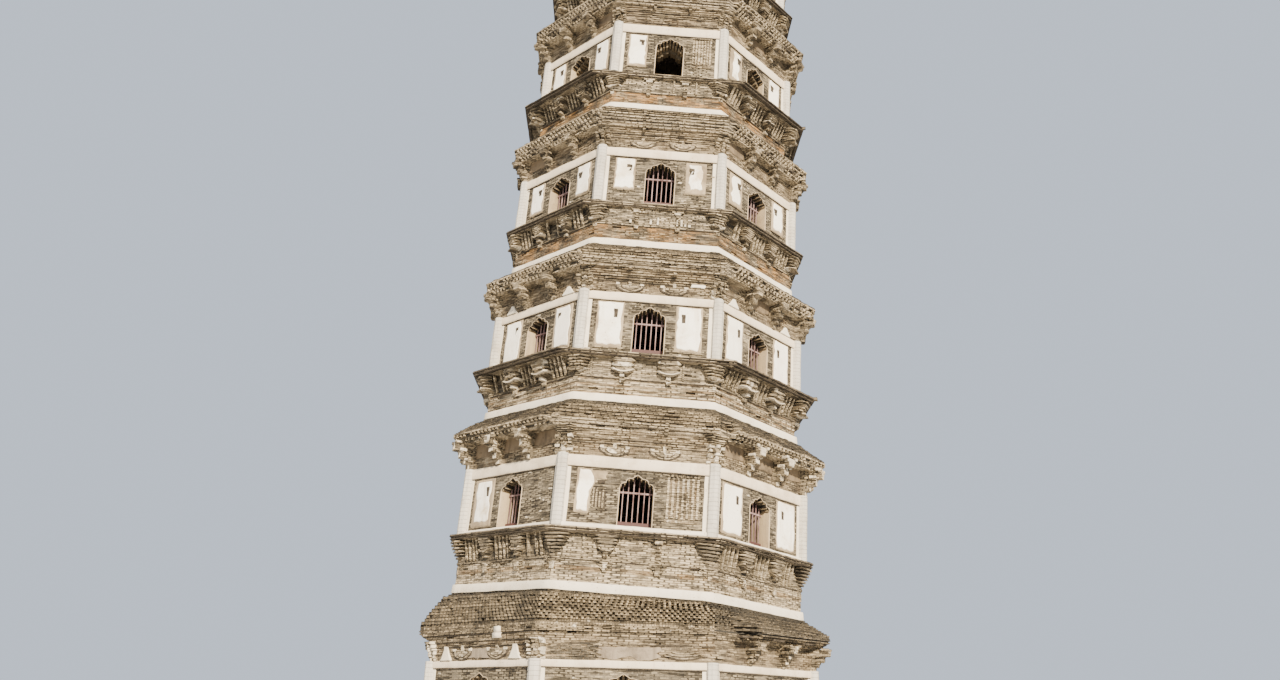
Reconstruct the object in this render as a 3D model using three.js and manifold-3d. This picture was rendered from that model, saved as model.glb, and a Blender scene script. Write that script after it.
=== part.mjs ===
// Leaning seven-storey octagonal brick pagoda that imitates timber framing, as a 1:2 scale model.
// Millimetres, +Z up. The origin is the middle of the base's underside, and the front face looks along -Y.
// The ground storey stands plumb. Everything above its eave leans towards +X.

import * as THREE from 'three';
import { mergeVertices } from 'three/addons/utils/BufferGeometryUtils.js';
import Module from 'manifold-3d';

// Plan: every ring is an octagon, measured to its corners.
const faceCount = 8;
const faceAngle = (2 * Math.PI) / faceCount;
const flatShare = Math.cos(faceAngle / 2);   // distance to a flat as a share of the corner radius
const seam = 0.3;                            // clearance where two pieces touch
const root = 3;                              // how far a piece runs into what it is joined to
const sameVertex = 1e-3;

// The lean of the upper storeys, about a level line at the ground storey's lintel.
const leanAngle = THREE.MathUtils.degToRad(2.86);

// Heights above the ground along the tower's axis, radii to the wall's corners. The front face has lost
// its eaves, down to frontReach from the wall, and its balcony lips, down to frontLip. The ground
// storey's left face has lost its eave too.
const storeys = [
  {
    name: 'ground', floor: 150, beamTop: 2615, beamDepth: 115,
    radius: 3700, wall: 900, bracketRise: 370, eaveReach: 340, frontReach: 60,
    leftReach: 60,
  },
  {
    name: 'storey2', floor: 4710, beamTop: 5975, beamDepth: 200,
    radius: 3470, wall: 860, bracketRise: 500, eaveReach: 440, frontReach: 110, balconyReach: 225,
    frontLip: 120,
  },
  {
    name: 'storey3', floor: 7965, beamTop: 9195, beamDepth: 165,
    radius: 3310, wall: 830, bracketRise: 500, eaveReach: 400, frontReach: 220, balconyReach: 400,
    frontLip: 150,
  },
  {
    name: 'storey4', floor: 11200, beamTop: 12470, beamDepth: 195,
    radius: 3160, wall: 800, bracketRise: 500, eaveReach: 350, frontReach: 170, balconyReach: 275,
    frontLip: 70,
  },
  {
    name: 'storey5', floor: 14425, beamTop: 15715, beamDepth: 215,
    radius: 2985, wall: 770, bracketRise: 500, eaveReach: 415, frontReach: 175, balconyReach: 430,
    frontLip: 70,
  },
  {
    name: 'storey6', floor: 17620, beamTop: 18875, beamDepth: 195,
    radius: 2800, wall: 740, bracketRise: 480, eaveReach: 380, frontReach: 165, balconyReach: 310,
    frontLip: 100,
  },
  {
    name: 'storey7', floor: 20720, beamTop: 21975, beamDepth: 195,
    radius: 2600, wall: 700, bracketRise: 460, eaveReach: 360, frontReach: 160, balconyReach: 300,
    frontLip: 100,
  },
];

// Base course under the ground storey.
const baseProud = 60;

// Doorways with cusped heads, one in each face of each storey.
const groundDoorWidth = 750;
const upperDoorWidth = 600;
const doorSill = 40;
const doorHeadRise = 240;
const doorHeadBelowBeam = 85;

// Timber-like frame in plaster: corner posts and a lintel beam.
const postRadius = 95;
const beamProud = 30;

// Bracket sets on a frieze: one at each corner and two along each face, at the thirds.
const friezeProud = 25;
const bracketWidth = 150;
const cornerBracketWidth = 190;
const bracketPlace = 1 / 6;
const armFootShare = 0.3;
const armReachShare = 0.92;
const armNoseShare = 0.62;

// Eave: corbelled courses up to a lip, then stepped brick back up to the white band.
const eaveRise = 1065;
const corbelCourses = 2;
const corbelStart = 0.45;
const corbelHeight = 50;
const lipHeight = 65;
const slopeSteps = 4;

// Balcony ring: white band, plain brick, string course, bracket caps and a lip of three thin courses.
const bandHeight = 110;
const bandProud = 40;
const stringHeight = 45;
const stringProud = 30;
const stringPlace = 0.5;
const lipCourse = 35;
const lipShares = [0.5, 0.8, 1];
const capHeight = 250;
const capTopWidth = 330;
const capFootWidth = 170;
const capFootDepth = 60;
const capReachShare = 0.9;

// Floors rest on a ledge inside the balcony ring.
const floorThickness = 150;
const ledgeWidth = 120;

// Low pyramid roof and the stump of the lost spire.
const roofRise = 560;
const roofTopRadius = 620;
const stumpRadius = 420;
const stumpHeight = 250;

const brick = { color: 0x9c8b73, roughness: 0.95, metalness: 0 };
const plaster = { color: 0xd9d0c1, roughness: 0.85, metalness: 0 };
const darkBrick = { color: 0x6c6458, roughness: 0.97, metalness: 0 };
const floorBrick = { color: 0x8a7d6c, roughness: 0.9, metalness: 0 };

const wasm = await Module();
wasm.setup();

function toSolid(geometry) {
  geometry.deleteAttribute('normal');
  geometry.deleteAttribute('uv');
  const merged = mergeVertices(geometry, sameVertex);
  return new wasm.Manifold(new wasm.Mesh({
    numProp: 3,
    vertProperties: new Float32Array(merged.attributes.position.array),
    triVerts: new Uint32Array(merged.index.array),
  }));
}

function toGeometry(solid) {
  const mesh = solid.getMesh();
  const geometry = new THREE.BufferGeometry();
  geometry.setAttribute('position', new THREE.BufferAttribute(new Float32Array(mesh.vertProperties), 3));
  geometry.setIndex(new THREE.BufferAttribute(new Uint32Array(mesh.triVerts), 1));
  geometry.computeVertexNormals();
  return geometry;
}

// An octagonal ring: a closed outline of [corner radius, height] points, carried round the eight faces.
function octagonRing(outline) {
  const points = [...outline, outline[0]].map(([radius, height]) => new THREE.Vector2(radius, height));
  return new THREE.LatheGeometry(points, faceCount, faceAngle / 2).rotateX(Math.PI / 2);
}

// A solid octagonal block between two heights, with its own radius at the foot and at the top.
function octagonBlock(footRadius, topRadius, foot, top) {
  return new THREE.CylinderGeometry(topRadius, footRadius, top - foot, faceCount, 1, false, faceAngle / 2)
    .rotateX(Math.PI / 2)
    .translate(0, 0, (foot + top) / 2);
}

// Copies of a piece made at the front, one for each face, turned about the axis by a share of a face.
function aroundFaces(makePiece, shift = 0) {
  return Array.from({ length: faceCount }, (_, face) =>
    toSolid(makePiece().rotateZ((face + shift) * faceAngle)));
}

// The doorway's cusped outline: straight jambs, two scalloped lobes a side and a pointed top.
function doorOutline(width, foot, top) {
  const half = width / 2;
  const spring = top - doorHeadRise;
  const side = [
    [1, 0],
    [0.9, 0.32],
    [0.66, 0.4],
    [0.56, 0.66],
    [0.3, 0.72],
    [0, 1],
  ].map(([across, up]) => [across * half, spring + up * doorHeadRise]);
  const right = [[half, foot], ...side];
  const left = right.slice(0, -1).reverse().map(([x, y]) => [-x, y]);
  return new THREE.Shape([...right, ...left].map(([x, y]) => new THREE.Vector2(x, y)));
}

function doorTunnel(storey, foot) {
  const width = storey.name === 'ground' ? groundDoorWidth : upperDoorWidth;
  const top = storey.beamTop - storey.beamDepth - doorHeadBelowBeam;
  const inner = (storey.radius - storey.wall) * flatShare * flatShare;
  const outer = storey.radius + beamProud;
  const depth = outer - inner;
  return new THREE.ExtrudeGeometry(doorOutline(width, foot, top), { depth, bevelEnabled: false })
    .rotateX(Math.PI / 2)
    .translate(0, -inner, 0);
}

// The wall of a storey: a thick octagonal ring up to the eave, with a doorway through each face.
function storeyWall(storey) {
  const foot = storey.floor + seam;
  const top = storey.beamTop + storey.bracketRise;
  const inner = storey.radius - storey.wall;
  const ring = toSolid(octagonRing([
    [inner, foot],
    [storey.radius, foot],
    [storey.radius, top],
    [inner, top],
  ]));
  const doorFoot = storey.name === 'ground' ? storey.floor - doorSill : storey.floor + doorSill;
  const tunnels = aroundFaces(() => doorTunnel(storey, doorFoot));
  return ring.subtract(wasm.Manifold.union(tunnels));
}

// The room that the wall takes up, with a seam round it, for a piece that is fitted round its outside.
function wallRoom(storey, foot, top) {
  const radius = storey.radius + seam / flatShare;
  return toSolid(octagonBlock(radius, radius, foot, top));
}

// What is left of a piece once its part beyond a face's reach has fallen away. Faces count from the
// front towards the right.
function withoutFace(solid, storey, face, reach) {
  const size = 2 * storey.radius;
  const distance = storey.radius * flatShare + reach;
  const fallen = new THREE.BoxGeometry(size, size, size)
    .translate(0, -distance - size / 2, storey.beamTop)
    .rotateZ(face * faceAngle);
  return solid.subtract(toSolid(fallen));
}

// An eave piece without the faces that have lost their eaves.
function withoutLostEaves(solid, storey) {
  const front = withoutFace(solid, storey, 0, storey.frontReach);
  return storey.leftReach ? withoutFace(front, storey, -1, storey.leftReach) : front;
}

// Corner posts joined by the lintel beam, fitted round the outside of the wall.
function storeyFrame(storey) {
  const foot = storey.floor + seam;
  const beam = octagonRing([
    [storey.radius - postRadius, storey.beamTop - storey.beamDepth],
    [storey.radius + beamProud, storey.beamTop - storey.beamDepth],
    [storey.radius + beamProud, storey.beamTop],
    [storey.radius - postRadius, storey.beamTop],
  ]);
  const posts = aroundFaces(
    () => octagonBlock(postRadius, postRadius, foot, storey.beamTop).translate(0, -storey.radius, 0), 0.5);
  return wasm.Manifold.union([toSolid(beam), ...posts])
    .subtract(wallRoom(storey, foot - root, storey.beamTop + root));
}

// An arm under the eave: upright at the wall, then swept out to the lip.
function bracketArm(width, back, face, foot, rise, reach) {
  const side = new THREE.Shape([
    new THREE.Vector2(back, 0),
    new THREE.Vector2(reach * armFootShare, 0),
    new THREE.Vector2(reach * armReachShare, rise * armNoseShare),
    new THREE.Vector2(reach * armReachShare, rise),
    new THREE.Vector2(back, rise),
  ]);
  return new THREE.ExtrudeGeometry(side, { depth: width, bevelEnabled: false })
    .translate(0, 0, -width / 2)
    .rotateX(Math.PI / 2)
    .rotateZ(-Math.PI / 2)
    .translate(0, -face, foot);
}

// The frieze round the wall over the lintel, with its bracket arms.
function eaveBrackets(storey) {
  const foot = storey.beamTop + seam;
  const top = storey.beamTop + storey.bracketRise;
  const frieze = toSolid(octagonRing([
    [storey.radius - root, foot],
    [storey.radius + friezeProud, foot],
    [storey.radius + friezeProud, top],
    [storey.radius - root, top],
  ]));
  const faceDistance = storey.radius * flatShare;
  const faceWidth = 2 * storey.radius * Math.sin(faceAngle / 2);
  const rise = top - foot;
  const reach = storey.eaveReach * flatShare;
  const faceArm = (place) =>
    bracketArm(bracketWidth, 0, faceDistance, foot, rise, reach).translate(place * faceWidth, 0, 0);
  const sets = [-bracketPlace, bracketPlace].flatMap((place) => aroundFaces(() => faceArm(place)));
  const corners = aroundFaces(
    () => bracketArm(cornerBracketWidth, -cornerBracketWidth / 2, storey.radius, foot, rise, storey.eaveReach),
    0.5);
  const whole = wasm.Manifold.union([frieze, ...sets, ...corners])
    .subtract(wallRoom(storey, foot - root, top + root));
  return withoutLostEaves(whole, storey);
}

// The outer outline of an eave, from its soffit over the lip and up the stepped slope.
function eaveOutline(storey, topRadius) {
  const foot = storey.beamTop + storey.bracketRise + seam;
  const lipRadius = storey.radius + storey.eaveReach;
  const outline = [];
  for (let course = 0; course < corbelCourses; course += 1) {
    const share = corbelStart + ((1 - corbelStart) * course) / corbelCourses;
    const radius = storey.radius + storey.eaveReach * share;
    outline.push([radius, foot + course * corbelHeight], [radius, foot + (course + 1) * corbelHeight]);
  }
  const lipFoot = foot + corbelCourses * corbelHeight;
  const lipTop = lipFoot + lipHeight;
  outline.push([lipRadius, lipFoot], [lipRadius, lipTop]);
  const top = storey.beamTop + eaveRise;
  for (let step = 1; step <= slopeSteps; step += 1) {
    const radius = THREE.MathUtils.lerp(lipRadius, topRadius, step / slopeSteps);
    const height = THREE.MathUtils.lerp(lipTop, top, (step - 1) / (slopeSteps - 1));
    outline.push([radius, height]);
    if (step < slopeSteps) outline.push([radius, THREE.MathUtils.lerp(lipTop, top, step / (slopeSteps - 1))]);
  }
  return { outline, lipTop, top };
}

// The eave as a ring. The ground storey's eave takes up the lean: its courses fan from level to leaning.
function storeyEave(storey, above) {
  const topRadius = (above ? above.radius : storey.radius) + bandProud;
  const inner = storey.radius - storey.wall;
  const { outline, lipTop, top } = eaveOutline(storey, topRadius);
  const foot = outline[0][1];
  const geometry = octagonRing([[inner, foot], ...outline, [inner, top]]);
  if (storey.name === 'ground') fanCourses(geometry, storey.beamTop, lipTop, top);
  return withoutLostEaves(toSolid(geometry), storey);
}

function fanCourses(geometry, pivotHeight, from, to) {
  const position = geometry.attributes.position;
  const point = new THREE.Vector3();
  const axis = new THREE.Vector3(0, 1, 0);
  for (let index = 0; index < position.count; index += 1) {
    point.fromBufferAttribute(position, index);
    const share = THREE.MathUtils.clamp((point.z - from) / (to - from), 0, 1);
    point.z -= pivotHeight;
    point.applyAxisAngle(axis, leanAngle * share);
    point.z += pivotHeight;
    position.setXYZ(index, point.x, point.y, point.z);
  }
}

// A bowl-shaped cap that carries the balcony's lip: narrow at its foot, wide at its top.
function balconyCap(face, top, reach) {
  const cap = new THREE.BoxGeometry(1, 1, 1);
  const position = cap.attributes.position;
  for (let index = 0; index < position.count; index += 1) {
    const upper = position.getZ(index) > 0;
    const outward = position.getY(index) < 0;
    const width = upper ? capTopWidth : capFootWidth;
    const depth = upper ? reach * capReachShare : capFootDepth;
    position.setXYZ(index, position.getX(index) * width, outward ? -face - depth : -face + stringProud,
      upper ? top : top - capHeight);
  }
  return cap;
}

// The balcony ring between the eave below and the storey's floor.
function storeyBalcony(storey, below) {
  const foot = below.beamTop + eaveRise + seam;
  const inner = storey.radius - storey.wall;
  const ledge = inner - ledgeWidth;
  const body = storey.radius;
  const lipFoot = storey.floor - lipShares.length * lipCourse;
  const stringFoot = foot + (lipFoot - foot) * stringPlace;
  const outline = [
    [ledge, foot],
    [body + bandProud, foot],
    [body + bandProud, foot + bandHeight],
    [body, foot + bandHeight],
    [body, stringFoot],
    [body + stringProud, stringFoot],
    [body + stringProud, stringFoot + stringHeight],
    [body, stringFoot + stringHeight],
    [body, lipFoot],
  ];
  lipShares.forEach((share, course) => {
    const radius = body + storey.balconyReach * share;
    outline.push([radius, lipFoot + course * lipCourse], [radius, lipFoot + (course + 1) * lipCourse]);
  });
  outline.push(
    [inner, storey.floor],
    [inner, storey.floor - floorThickness],
    [ledge, storey.floor - floorThickness],
  );
  const faceWidth = 2 * body * Math.sin(faceAngle / 2);
  const reach = storey.balconyReach * lipShares[0];
  const capTop = lipFoot + seam;
  const caps = [-bracketPlace, bracketPlace].flatMap((place) =>
    aroundFaces(() => balconyCap(body * flatShare, capTop, reach).translate(place * faceWidth, 0, 0)));
  const cornerCaps = aroundFaces(() => balconyCap(body - stringProud, capTop, reach + stringProud), 0.5);
  const whole = wasm.Manifold.union([toSolid(octagonRing(outline)), ...caps, ...cornerCaps]);
  return withoutFace(whole, storey, 0, storey.frontLip);
}

// The floor slab that closes the storey below.
function storeyFloor(storey) {
  const radius = storey.radius - storey.wall - seam / flatShare;
  return toSolid(octagonBlock(radius, radius, storey.floor - floorThickness + seam, storey.floor));
}

const pagoda = new THREE.Group();
const lower = new THREE.Group();
const pivot = new THREE.Group();
const upper = new THREE.Group();
const pivotHeight = storeys[0].beamTop;
pivot.position.z = pivotHeight;
pivot.rotation.y = leanAngle;
upper.position.z = -pivotHeight;
pivot.add(upper);
pagoda.add(lower, pivot);

function addPiece(group, name, solid, finish) {
  const mesh = new THREE.Mesh(toGeometry(solid), new THREE.MeshStandardMaterial(finish));
  mesh.name = name;
  group.add(mesh);
}

const ground = storeys[0];
const baseRadius = ground.radius + baseProud;
addPiece(lower, 'base', toSolid(octagonBlock(baseRadius, baseRadius, 0, ground.floor)), brick);

storeys.forEach((storey, level) => {
  const below = storeys[level - 1];
  const above = storeys[level + 1];
  const group = below ? upper : lower;
  if (below) {
    addPiece(group, `${storey.name}_balcony`, storeyBalcony(storey, below), brick);
    addPiece(group, `${storey.name}_floor`, storeyFloor(storey), floorBrick);
  }
  addPiece(group, `${storey.name}_wall`, storeyWall(storey), brick);
  addPiece(group, `${storey.name}_frame`, storeyFrame(storey), plaster);
  addPiece(group, `${storey.name}_brackets`, eaveBrackets(storey), brick);
  addPiece(group, `${storey.name}_eave`, storeyEave(storey, above), darkBrick);
});

const topStorey = storeys[storeys.length - 1];
const roofFoot = topStorey.beamTop + eaveRise + seam;
const roofTop = roofFoot + roofRise;
const roofRadius = topStorey.radius;
addPiece(upper, 'roof', toSolid(octagonBlock(roofRadius, roofTopRadius, roofFoot, roofTop)), darkBrick);
addPiece(upper, 'spire_stump',
  toSolid(octagonBlock(stumpRadius, stumpRadius * flatShare, roofTop + seam, roofTop + stumpHeight)), brick);

export default pagoda;
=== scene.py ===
import math
import bpy
import numpy as np
from mathutils import Matrix, Vector


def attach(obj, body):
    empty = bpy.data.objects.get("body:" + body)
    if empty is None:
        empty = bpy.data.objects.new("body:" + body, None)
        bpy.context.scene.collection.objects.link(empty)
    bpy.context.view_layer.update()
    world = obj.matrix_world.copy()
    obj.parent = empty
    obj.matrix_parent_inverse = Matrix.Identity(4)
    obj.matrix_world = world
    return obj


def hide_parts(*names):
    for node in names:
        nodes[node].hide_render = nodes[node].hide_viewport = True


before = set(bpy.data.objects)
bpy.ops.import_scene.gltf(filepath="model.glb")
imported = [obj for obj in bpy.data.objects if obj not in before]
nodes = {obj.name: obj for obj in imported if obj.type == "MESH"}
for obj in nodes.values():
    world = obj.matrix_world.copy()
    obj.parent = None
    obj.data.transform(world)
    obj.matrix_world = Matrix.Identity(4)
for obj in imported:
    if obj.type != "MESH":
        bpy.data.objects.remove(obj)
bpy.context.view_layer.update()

# numbers shared with the part's source, in metres
tower = {
    "lean": math.radians(2.86),   # the upper storeys lean towards +X
    "pivot": 2.615,               # height of the level line they lean about
    "eaveRise": 1.065,            # from a lintel's top to the white band above it
    "doorRise": 0.24,             # height of a doorway's cusped head
    "doorDrop": 0.085,            # from the lintel's underside to the doorway's point
    "doorSill": 0.04,
    "groundDoor": 0.75,           # width of a doorway
    "door": 0.60,
}
columns = ("name", "floor", "beamTop", "beamDepth", "radius", "wall", "bracketRise", "eaveReach", "frontReach",
           "balconyReach", "frontLip")
storeyTable = [
    ("ground", 0.150, 2.615, 0.115, 3.700, 0.900, 0.370, 0.340, 0.060, 0.000, 0.000),
    ("storey2", 4.710, 5.975, 0.200, 3.470, 0.860, 0.500, 0.440, 0.110, 0.225, 0.120),
    ("storey3", 7.965, 9.195, 0.165, 3.310, 0.830, 0.500, 0.400, 0.220, 0.400, 0.150),
    ("storey4", 11.200, 12.470, 0.195, 3.160, 0.800, 0.500, 0.350, 0.170, 0.275, 0.070),
    ("storey5", 14.425, 15.715, 0.215, 2.985, 0.770, 0.500, 0.415, 0.175, 0.430, 0.070),
    ("storey6", 17.620, 18.875, 0.195, 2.800, 0.740, 0.480, 0.380, 0.165, 0.310, 0.100),
    ("storey7", 20.720, 21.975, 0.195, 2.600, 0.700, 0.460, 0.360, 0.160, 0.300, 0.100),
]
turn = math.pi / 4                # one face of the octagon
flat = math.cos(turn / 2)         # a flat's distance as a share of its corner radius
front, left = 0, 7                # faces count from the front towards the right
faces = np.arange(8)
courseHeight = 0.038              # one brick and its joint
brickLength = 0.15
wallBrickLength = 0.17            # in the courses that are built brick by brick


# One storey: its row of the table and what follows from it.
class Storey:
    def __init__(self, row):
        vars(self).update(zip(columns, row))
        self.ground = self.name == "ground"
        self.lean = 0.0 if self.ground else 1.0
        self.out = self.radius * flat                        # its walls' distance from the axis
        self.width = 2 * self.radius * math.sin(turn / 2)    # of a face
        self.bricks = round(self.width / wallBrickLength)
        self.back = self.wall * flat
        self.under = self.beamTop - self.beamDepth           # the lintel's underside
        self.doorHalf = tower["groundDoor" if self.ground else "door"] / 2
        self.doorFoot = self.floor + (0 if self.ground else tower["doorSill"])
        self.doorTop = self.under - tower["doorDrop"]
        # the faces that have lost their eaves, and how far those still stand out
        self.lost = {face: self.frontReach for face in ((front, left) if self.ground else (front,))}
        self.kept = np.array([face for face in faces if face not in self.lost])


# A point of a face: out times (sin a, -cos a) plus along times (cos a, sin a), at its height.
def place(angle, along, out, up):
    angle, along, out, up = np.broadcast_arrays(angle, along, out, up)
    x = np.sin(angle) * out + np.cos(angle) * along
    y = -np.cos(angle) * out + np.sin(angle) * along
    return np.stack([x, y, up], axis=-1)


# Leaning: with h the height over the pivot, x' = x cos a + h sin a and z' = h cos a - x sin a over the pivot.
def leaned(points, share):
    a = tower["lean"] * np.asarray(share)
    h = points[..., 2] - tower["pivot"]
    x = points[..., 0] * np.cos(a) + h * np.sin(a)
    z = h * np.cos(a) - points[..., 0] * np.sin(a) + tower["pivot"]
    return np.stack([x, points[..., 1], z], axis=-1)


# Chance value of a whole-number cell: the fraction of a large sine.
def chance(i, j, seed):
    value = np.sin(np.asarray(i) * 127.1 + np.asarray(j) * 311.7 + seed * 74.7) * 43758.5453
    return value - np.floor(value)


# Smooth noise from -1 to 1: the four chances round a point, joined by 3t^2 - 2t^3 both ways.
def softNoise(x, y, seed):
    i, j = np.floor(x), np.floor(y)
    u, v = (t * t * (3 - 2 * t) for t in (x - i, y - j))
    low = chance(i, j, seed) * (1 - u) + chance(i + 1, j, seed) * u
    high = chance(i, j + 1, seed) * (1 - u) + chance(i + 1, j + 1, seed) * u
    return 2 * (low * (1 - v) + high * v) - 1


# Every first value with every second one.
def pairs(first, second):
    return (v.ravel() for v in np.meshgrid(first, second, indexing="ij"))


# The two ends of a stretch with its middle at spot.
def around(spot, half):
    return spot - half, spot + half


# Quads of a grid of points, rows upwards and columns sideways; either way may close on itself.
def gridQuads(rows, cols, closeRows=False, closeCols=False):
    r = np.arange(rows if closeRows else rows - 1)[:, None]
    c = np.arange(cols if closeCols else cols - 1)[None, :]
    r2, c2 = (r + 1) % rows, (c + 1) % cols
    return np.stack(np.broadcast_arrays(r * cols + c, r * cols + c2, r2 * cols + c2, r2 * cols + c), axis=-1)


# Several surfaces of a storey put together as one piece: points, quads, map corners, lime and tone values.
class Heap:
    def __init__(self, storey):
        self.storey, self.parts, self.count = storey, [], 0

    def add(self, points, quads, corners=None, lime=0.0, tone=0.5):
        points, quads = points.reshape(-1, 3), quads.reshape(-1, 4)
        if corners is None:
            corners = np.zeros((len(quads), 4, 2))
        lime, tone = (np.ravel(v) if np.ndim(v) else np.full(len(points), v) for v in (lime, tone))
        self.parts.append((points, quads + self.count, corners.reshape(-1, 4, 2), lime, tone))
        self.count += len(points)

    def piece(self, ending, material, slot, replaced=(), smooth=False):
        points, quads, corners, lime, tone = (np.concatenate([p[k] for p in self.parts]) for k in range(5))
        name = f"{self.storey.name}_{ending}"
        mesh = bpy.data.meshes.new(name)
        mesh.vertices.add(len(points))
        mesh.vertices.foreach_set("co", points.astype(np.float32).ravel())
        mesh.loops.add(quads.size)
        mesh.loops.foreach_set("vertex_index", quads.astype(np.int32).ravel())
        mesh.polygons.add(len(quads))
        mesh.polygons.foreach_set("loop_start", (np.arange(len(quads)) * 4).astype(np.int32))
        mesh.update(calc_edges=True)
        mesh.uv_layers.new(name="courses").data.foreach_set("uv", corners.astype(np.float32).ravel())
        for key, values in (("lime", lime), ("tone", tone)):
            mesh.attributes.new(key, "FLOAT", "POINT").data.foreach_set("value", values.astype(np.float32))
        mesh.polygons.foreach_set("use_smooth", np.full(len(quads), smooth))
        mesh.materials.append(material)
        piece = bpy.data.objects.new(name, mesh)
        bpy.context.scene.collection.objects.link(piece)
        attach(piece, "root")
        if replaced:
            replaced = [f"{self.storey.name}_{node}" for node in replaced]
            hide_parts(*replaced)
        return piece


# A material and the nodes added to it. Inputs are numbers, colours or other nodes' outputs.
class Paint:
    def __init__(self, name, roughness):
        self.material = bpy.data.materials.new(name)
        self.material.use_nodes = True
        self.tree = self.material.node_tree
        self.shader = self.tree.nodes["Principled BSDF"]
        self.feed(self.shader, {"Roughness": roughness, "Specular IOR Level": 0.25})
        self.spot = self.node("TexCoord").outputs["Object"]

    def feed(self, node, inputs):
        for key, value in inputs.items():
            if isinstance(value, bpy.types.NodeSocket):
                self.tree.links.new(value, node.inputs[key])
            elif node.inputs[key].type == "RGBA":
                node.inputs[key].default_value = (*value, 1)
            else:
                node.inputs[key].default_value = value

    def node(self, kind, inputs=None, **settings):
        node = self.tree.nodes.new("ShaderNode" + kind)
        for key, value in settings.items():
            setattr(node, key, value)
        self.feed(node, inputs or {})
        return node

    def maths(self, operation, first, second, clamp=False):
        return self.node("Math", {0: first, 1: second}, operation=operation, use_clamp=clamp).outputs[0]

    def times(self, first, second, clamp=False):
        return self.maths("MULTIPLY", first, second, clamp)

    def plus(self, first, second, clamp=False):
        return self.maths("ADD", first, second, clamp)

    def minus(self, first, second, clamp=False):
        return self.maths("SUBTRACT", first, second, clamp)

    def mix(self, amount, first, second):
        return self.node("Mix", {0: amount, 6: first, 7: second}, data_type="RGBA", blend_type="MIX").outputs[2]

    def height(self):
        return self.node("SeparateXYZ", {0: self.spot}).outputs[2]

    def stored(self, key):
        return self.node("Attribute", attribute_name=key).outputs["Fac"]

    # noise on Object coordinates, with its contrast drawn between two levels
    def spots(self, scale, low, high, detail=4.0, stretch=None):
        where = self.node("Mapping", {"Vector": self.spot, "Scale": stretch}).outputs[0] if stretch else self.spot
        noise = self.node("TexNoise", {"Vector": where, "Scale": scale, "Detail": detail, "Roughness": 0.6})
        return self.levels(noise.outputs[0], low, high)

    def levels(self, value, low, high):
        return self.node("MapRange", {"Value": value, "From Min": low, "From Max": high}).outputs["Result"]

    # flat bricks in running courses: their sizes, then two tones and the joint's
    def bricks(self, where, sizes, tones):
        inputs = dict(zip(("Mortar Size", "Mortar Smooth", "Brick Width", "Row Height"), sizes))
        inputs.update(zip(("Color1", "Color2", "Mortar"), tones))
        return self.node("TexBrick", {"Vector": where, "Scale": 1.0, **inputs}, offset=0.5, offset_frequency=2)

    def ramp(self, value, stops):
        node = self.node("ValToRGB", {0: value})
        elements = node.color_ramp.elements
        while len(elements) < len(stops):
            elements.new(0.5)
        for element, (position, colour) in zip(elements, stops):
            element.position, element.color = position, (*colour, 1)
        return node.outputs[0]

    def finish(self, colour, height=None, distance=0.0):
        self.feed(self.shader, {"Base Color": colour})
        if height:
            bump = self.node("Bump", {"Height": height, "Distance": distance, "Strength": 1.0})
            self.feed(self.shader, {"Normal": bump.outputs[0]})
        return self.material


brickLook = {
    "tones": [(0.0, (0.045, 0.037, 0.027)), (0.28, (0.115, 0.093, 0.064)), (0.5, (0.205, 0.165, 0.110)),
              (0.72, (0.310, 0.250, 0.165)), (1.0, (0.480, 0.395, 0.275))],
    "wallTones": [(0.0, (0.022, 0.019, 0.015)), (0.28, (0.080, 0.067, 0.048)), (0.5, (0.168, 0.138, 0.094)),
                  (0.72, (0.272, 0.224, 0.152)), (1.0, (0.450, 0.380, 0.260))],
    "darkTones": [(0.0, (0.022, 0.018, 0.013)), (0.35, (0.070, 0.057, 0.039)), (0.7, (0.150, 0.118, 0.076)),
                  (1.0, (0.330, 0.258, 0.165))],
    "joint": (0.260, 0.210, 0.145),
    "wallJoint": (0.170, 0.145, 0.108),
    "darkJoint": (0.040, 0.032, 0.022),
    "crack": (0.014, 0.011, 0.008),
    "sootAndShade": (0.040, 0.036, 0.030),
    "orange": (0.365, 0.192, 0.062),
    "lime": (0.660, 0.590, 0.470),
    "oldLime": (0.33, 0.28, 0.20),
}


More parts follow.
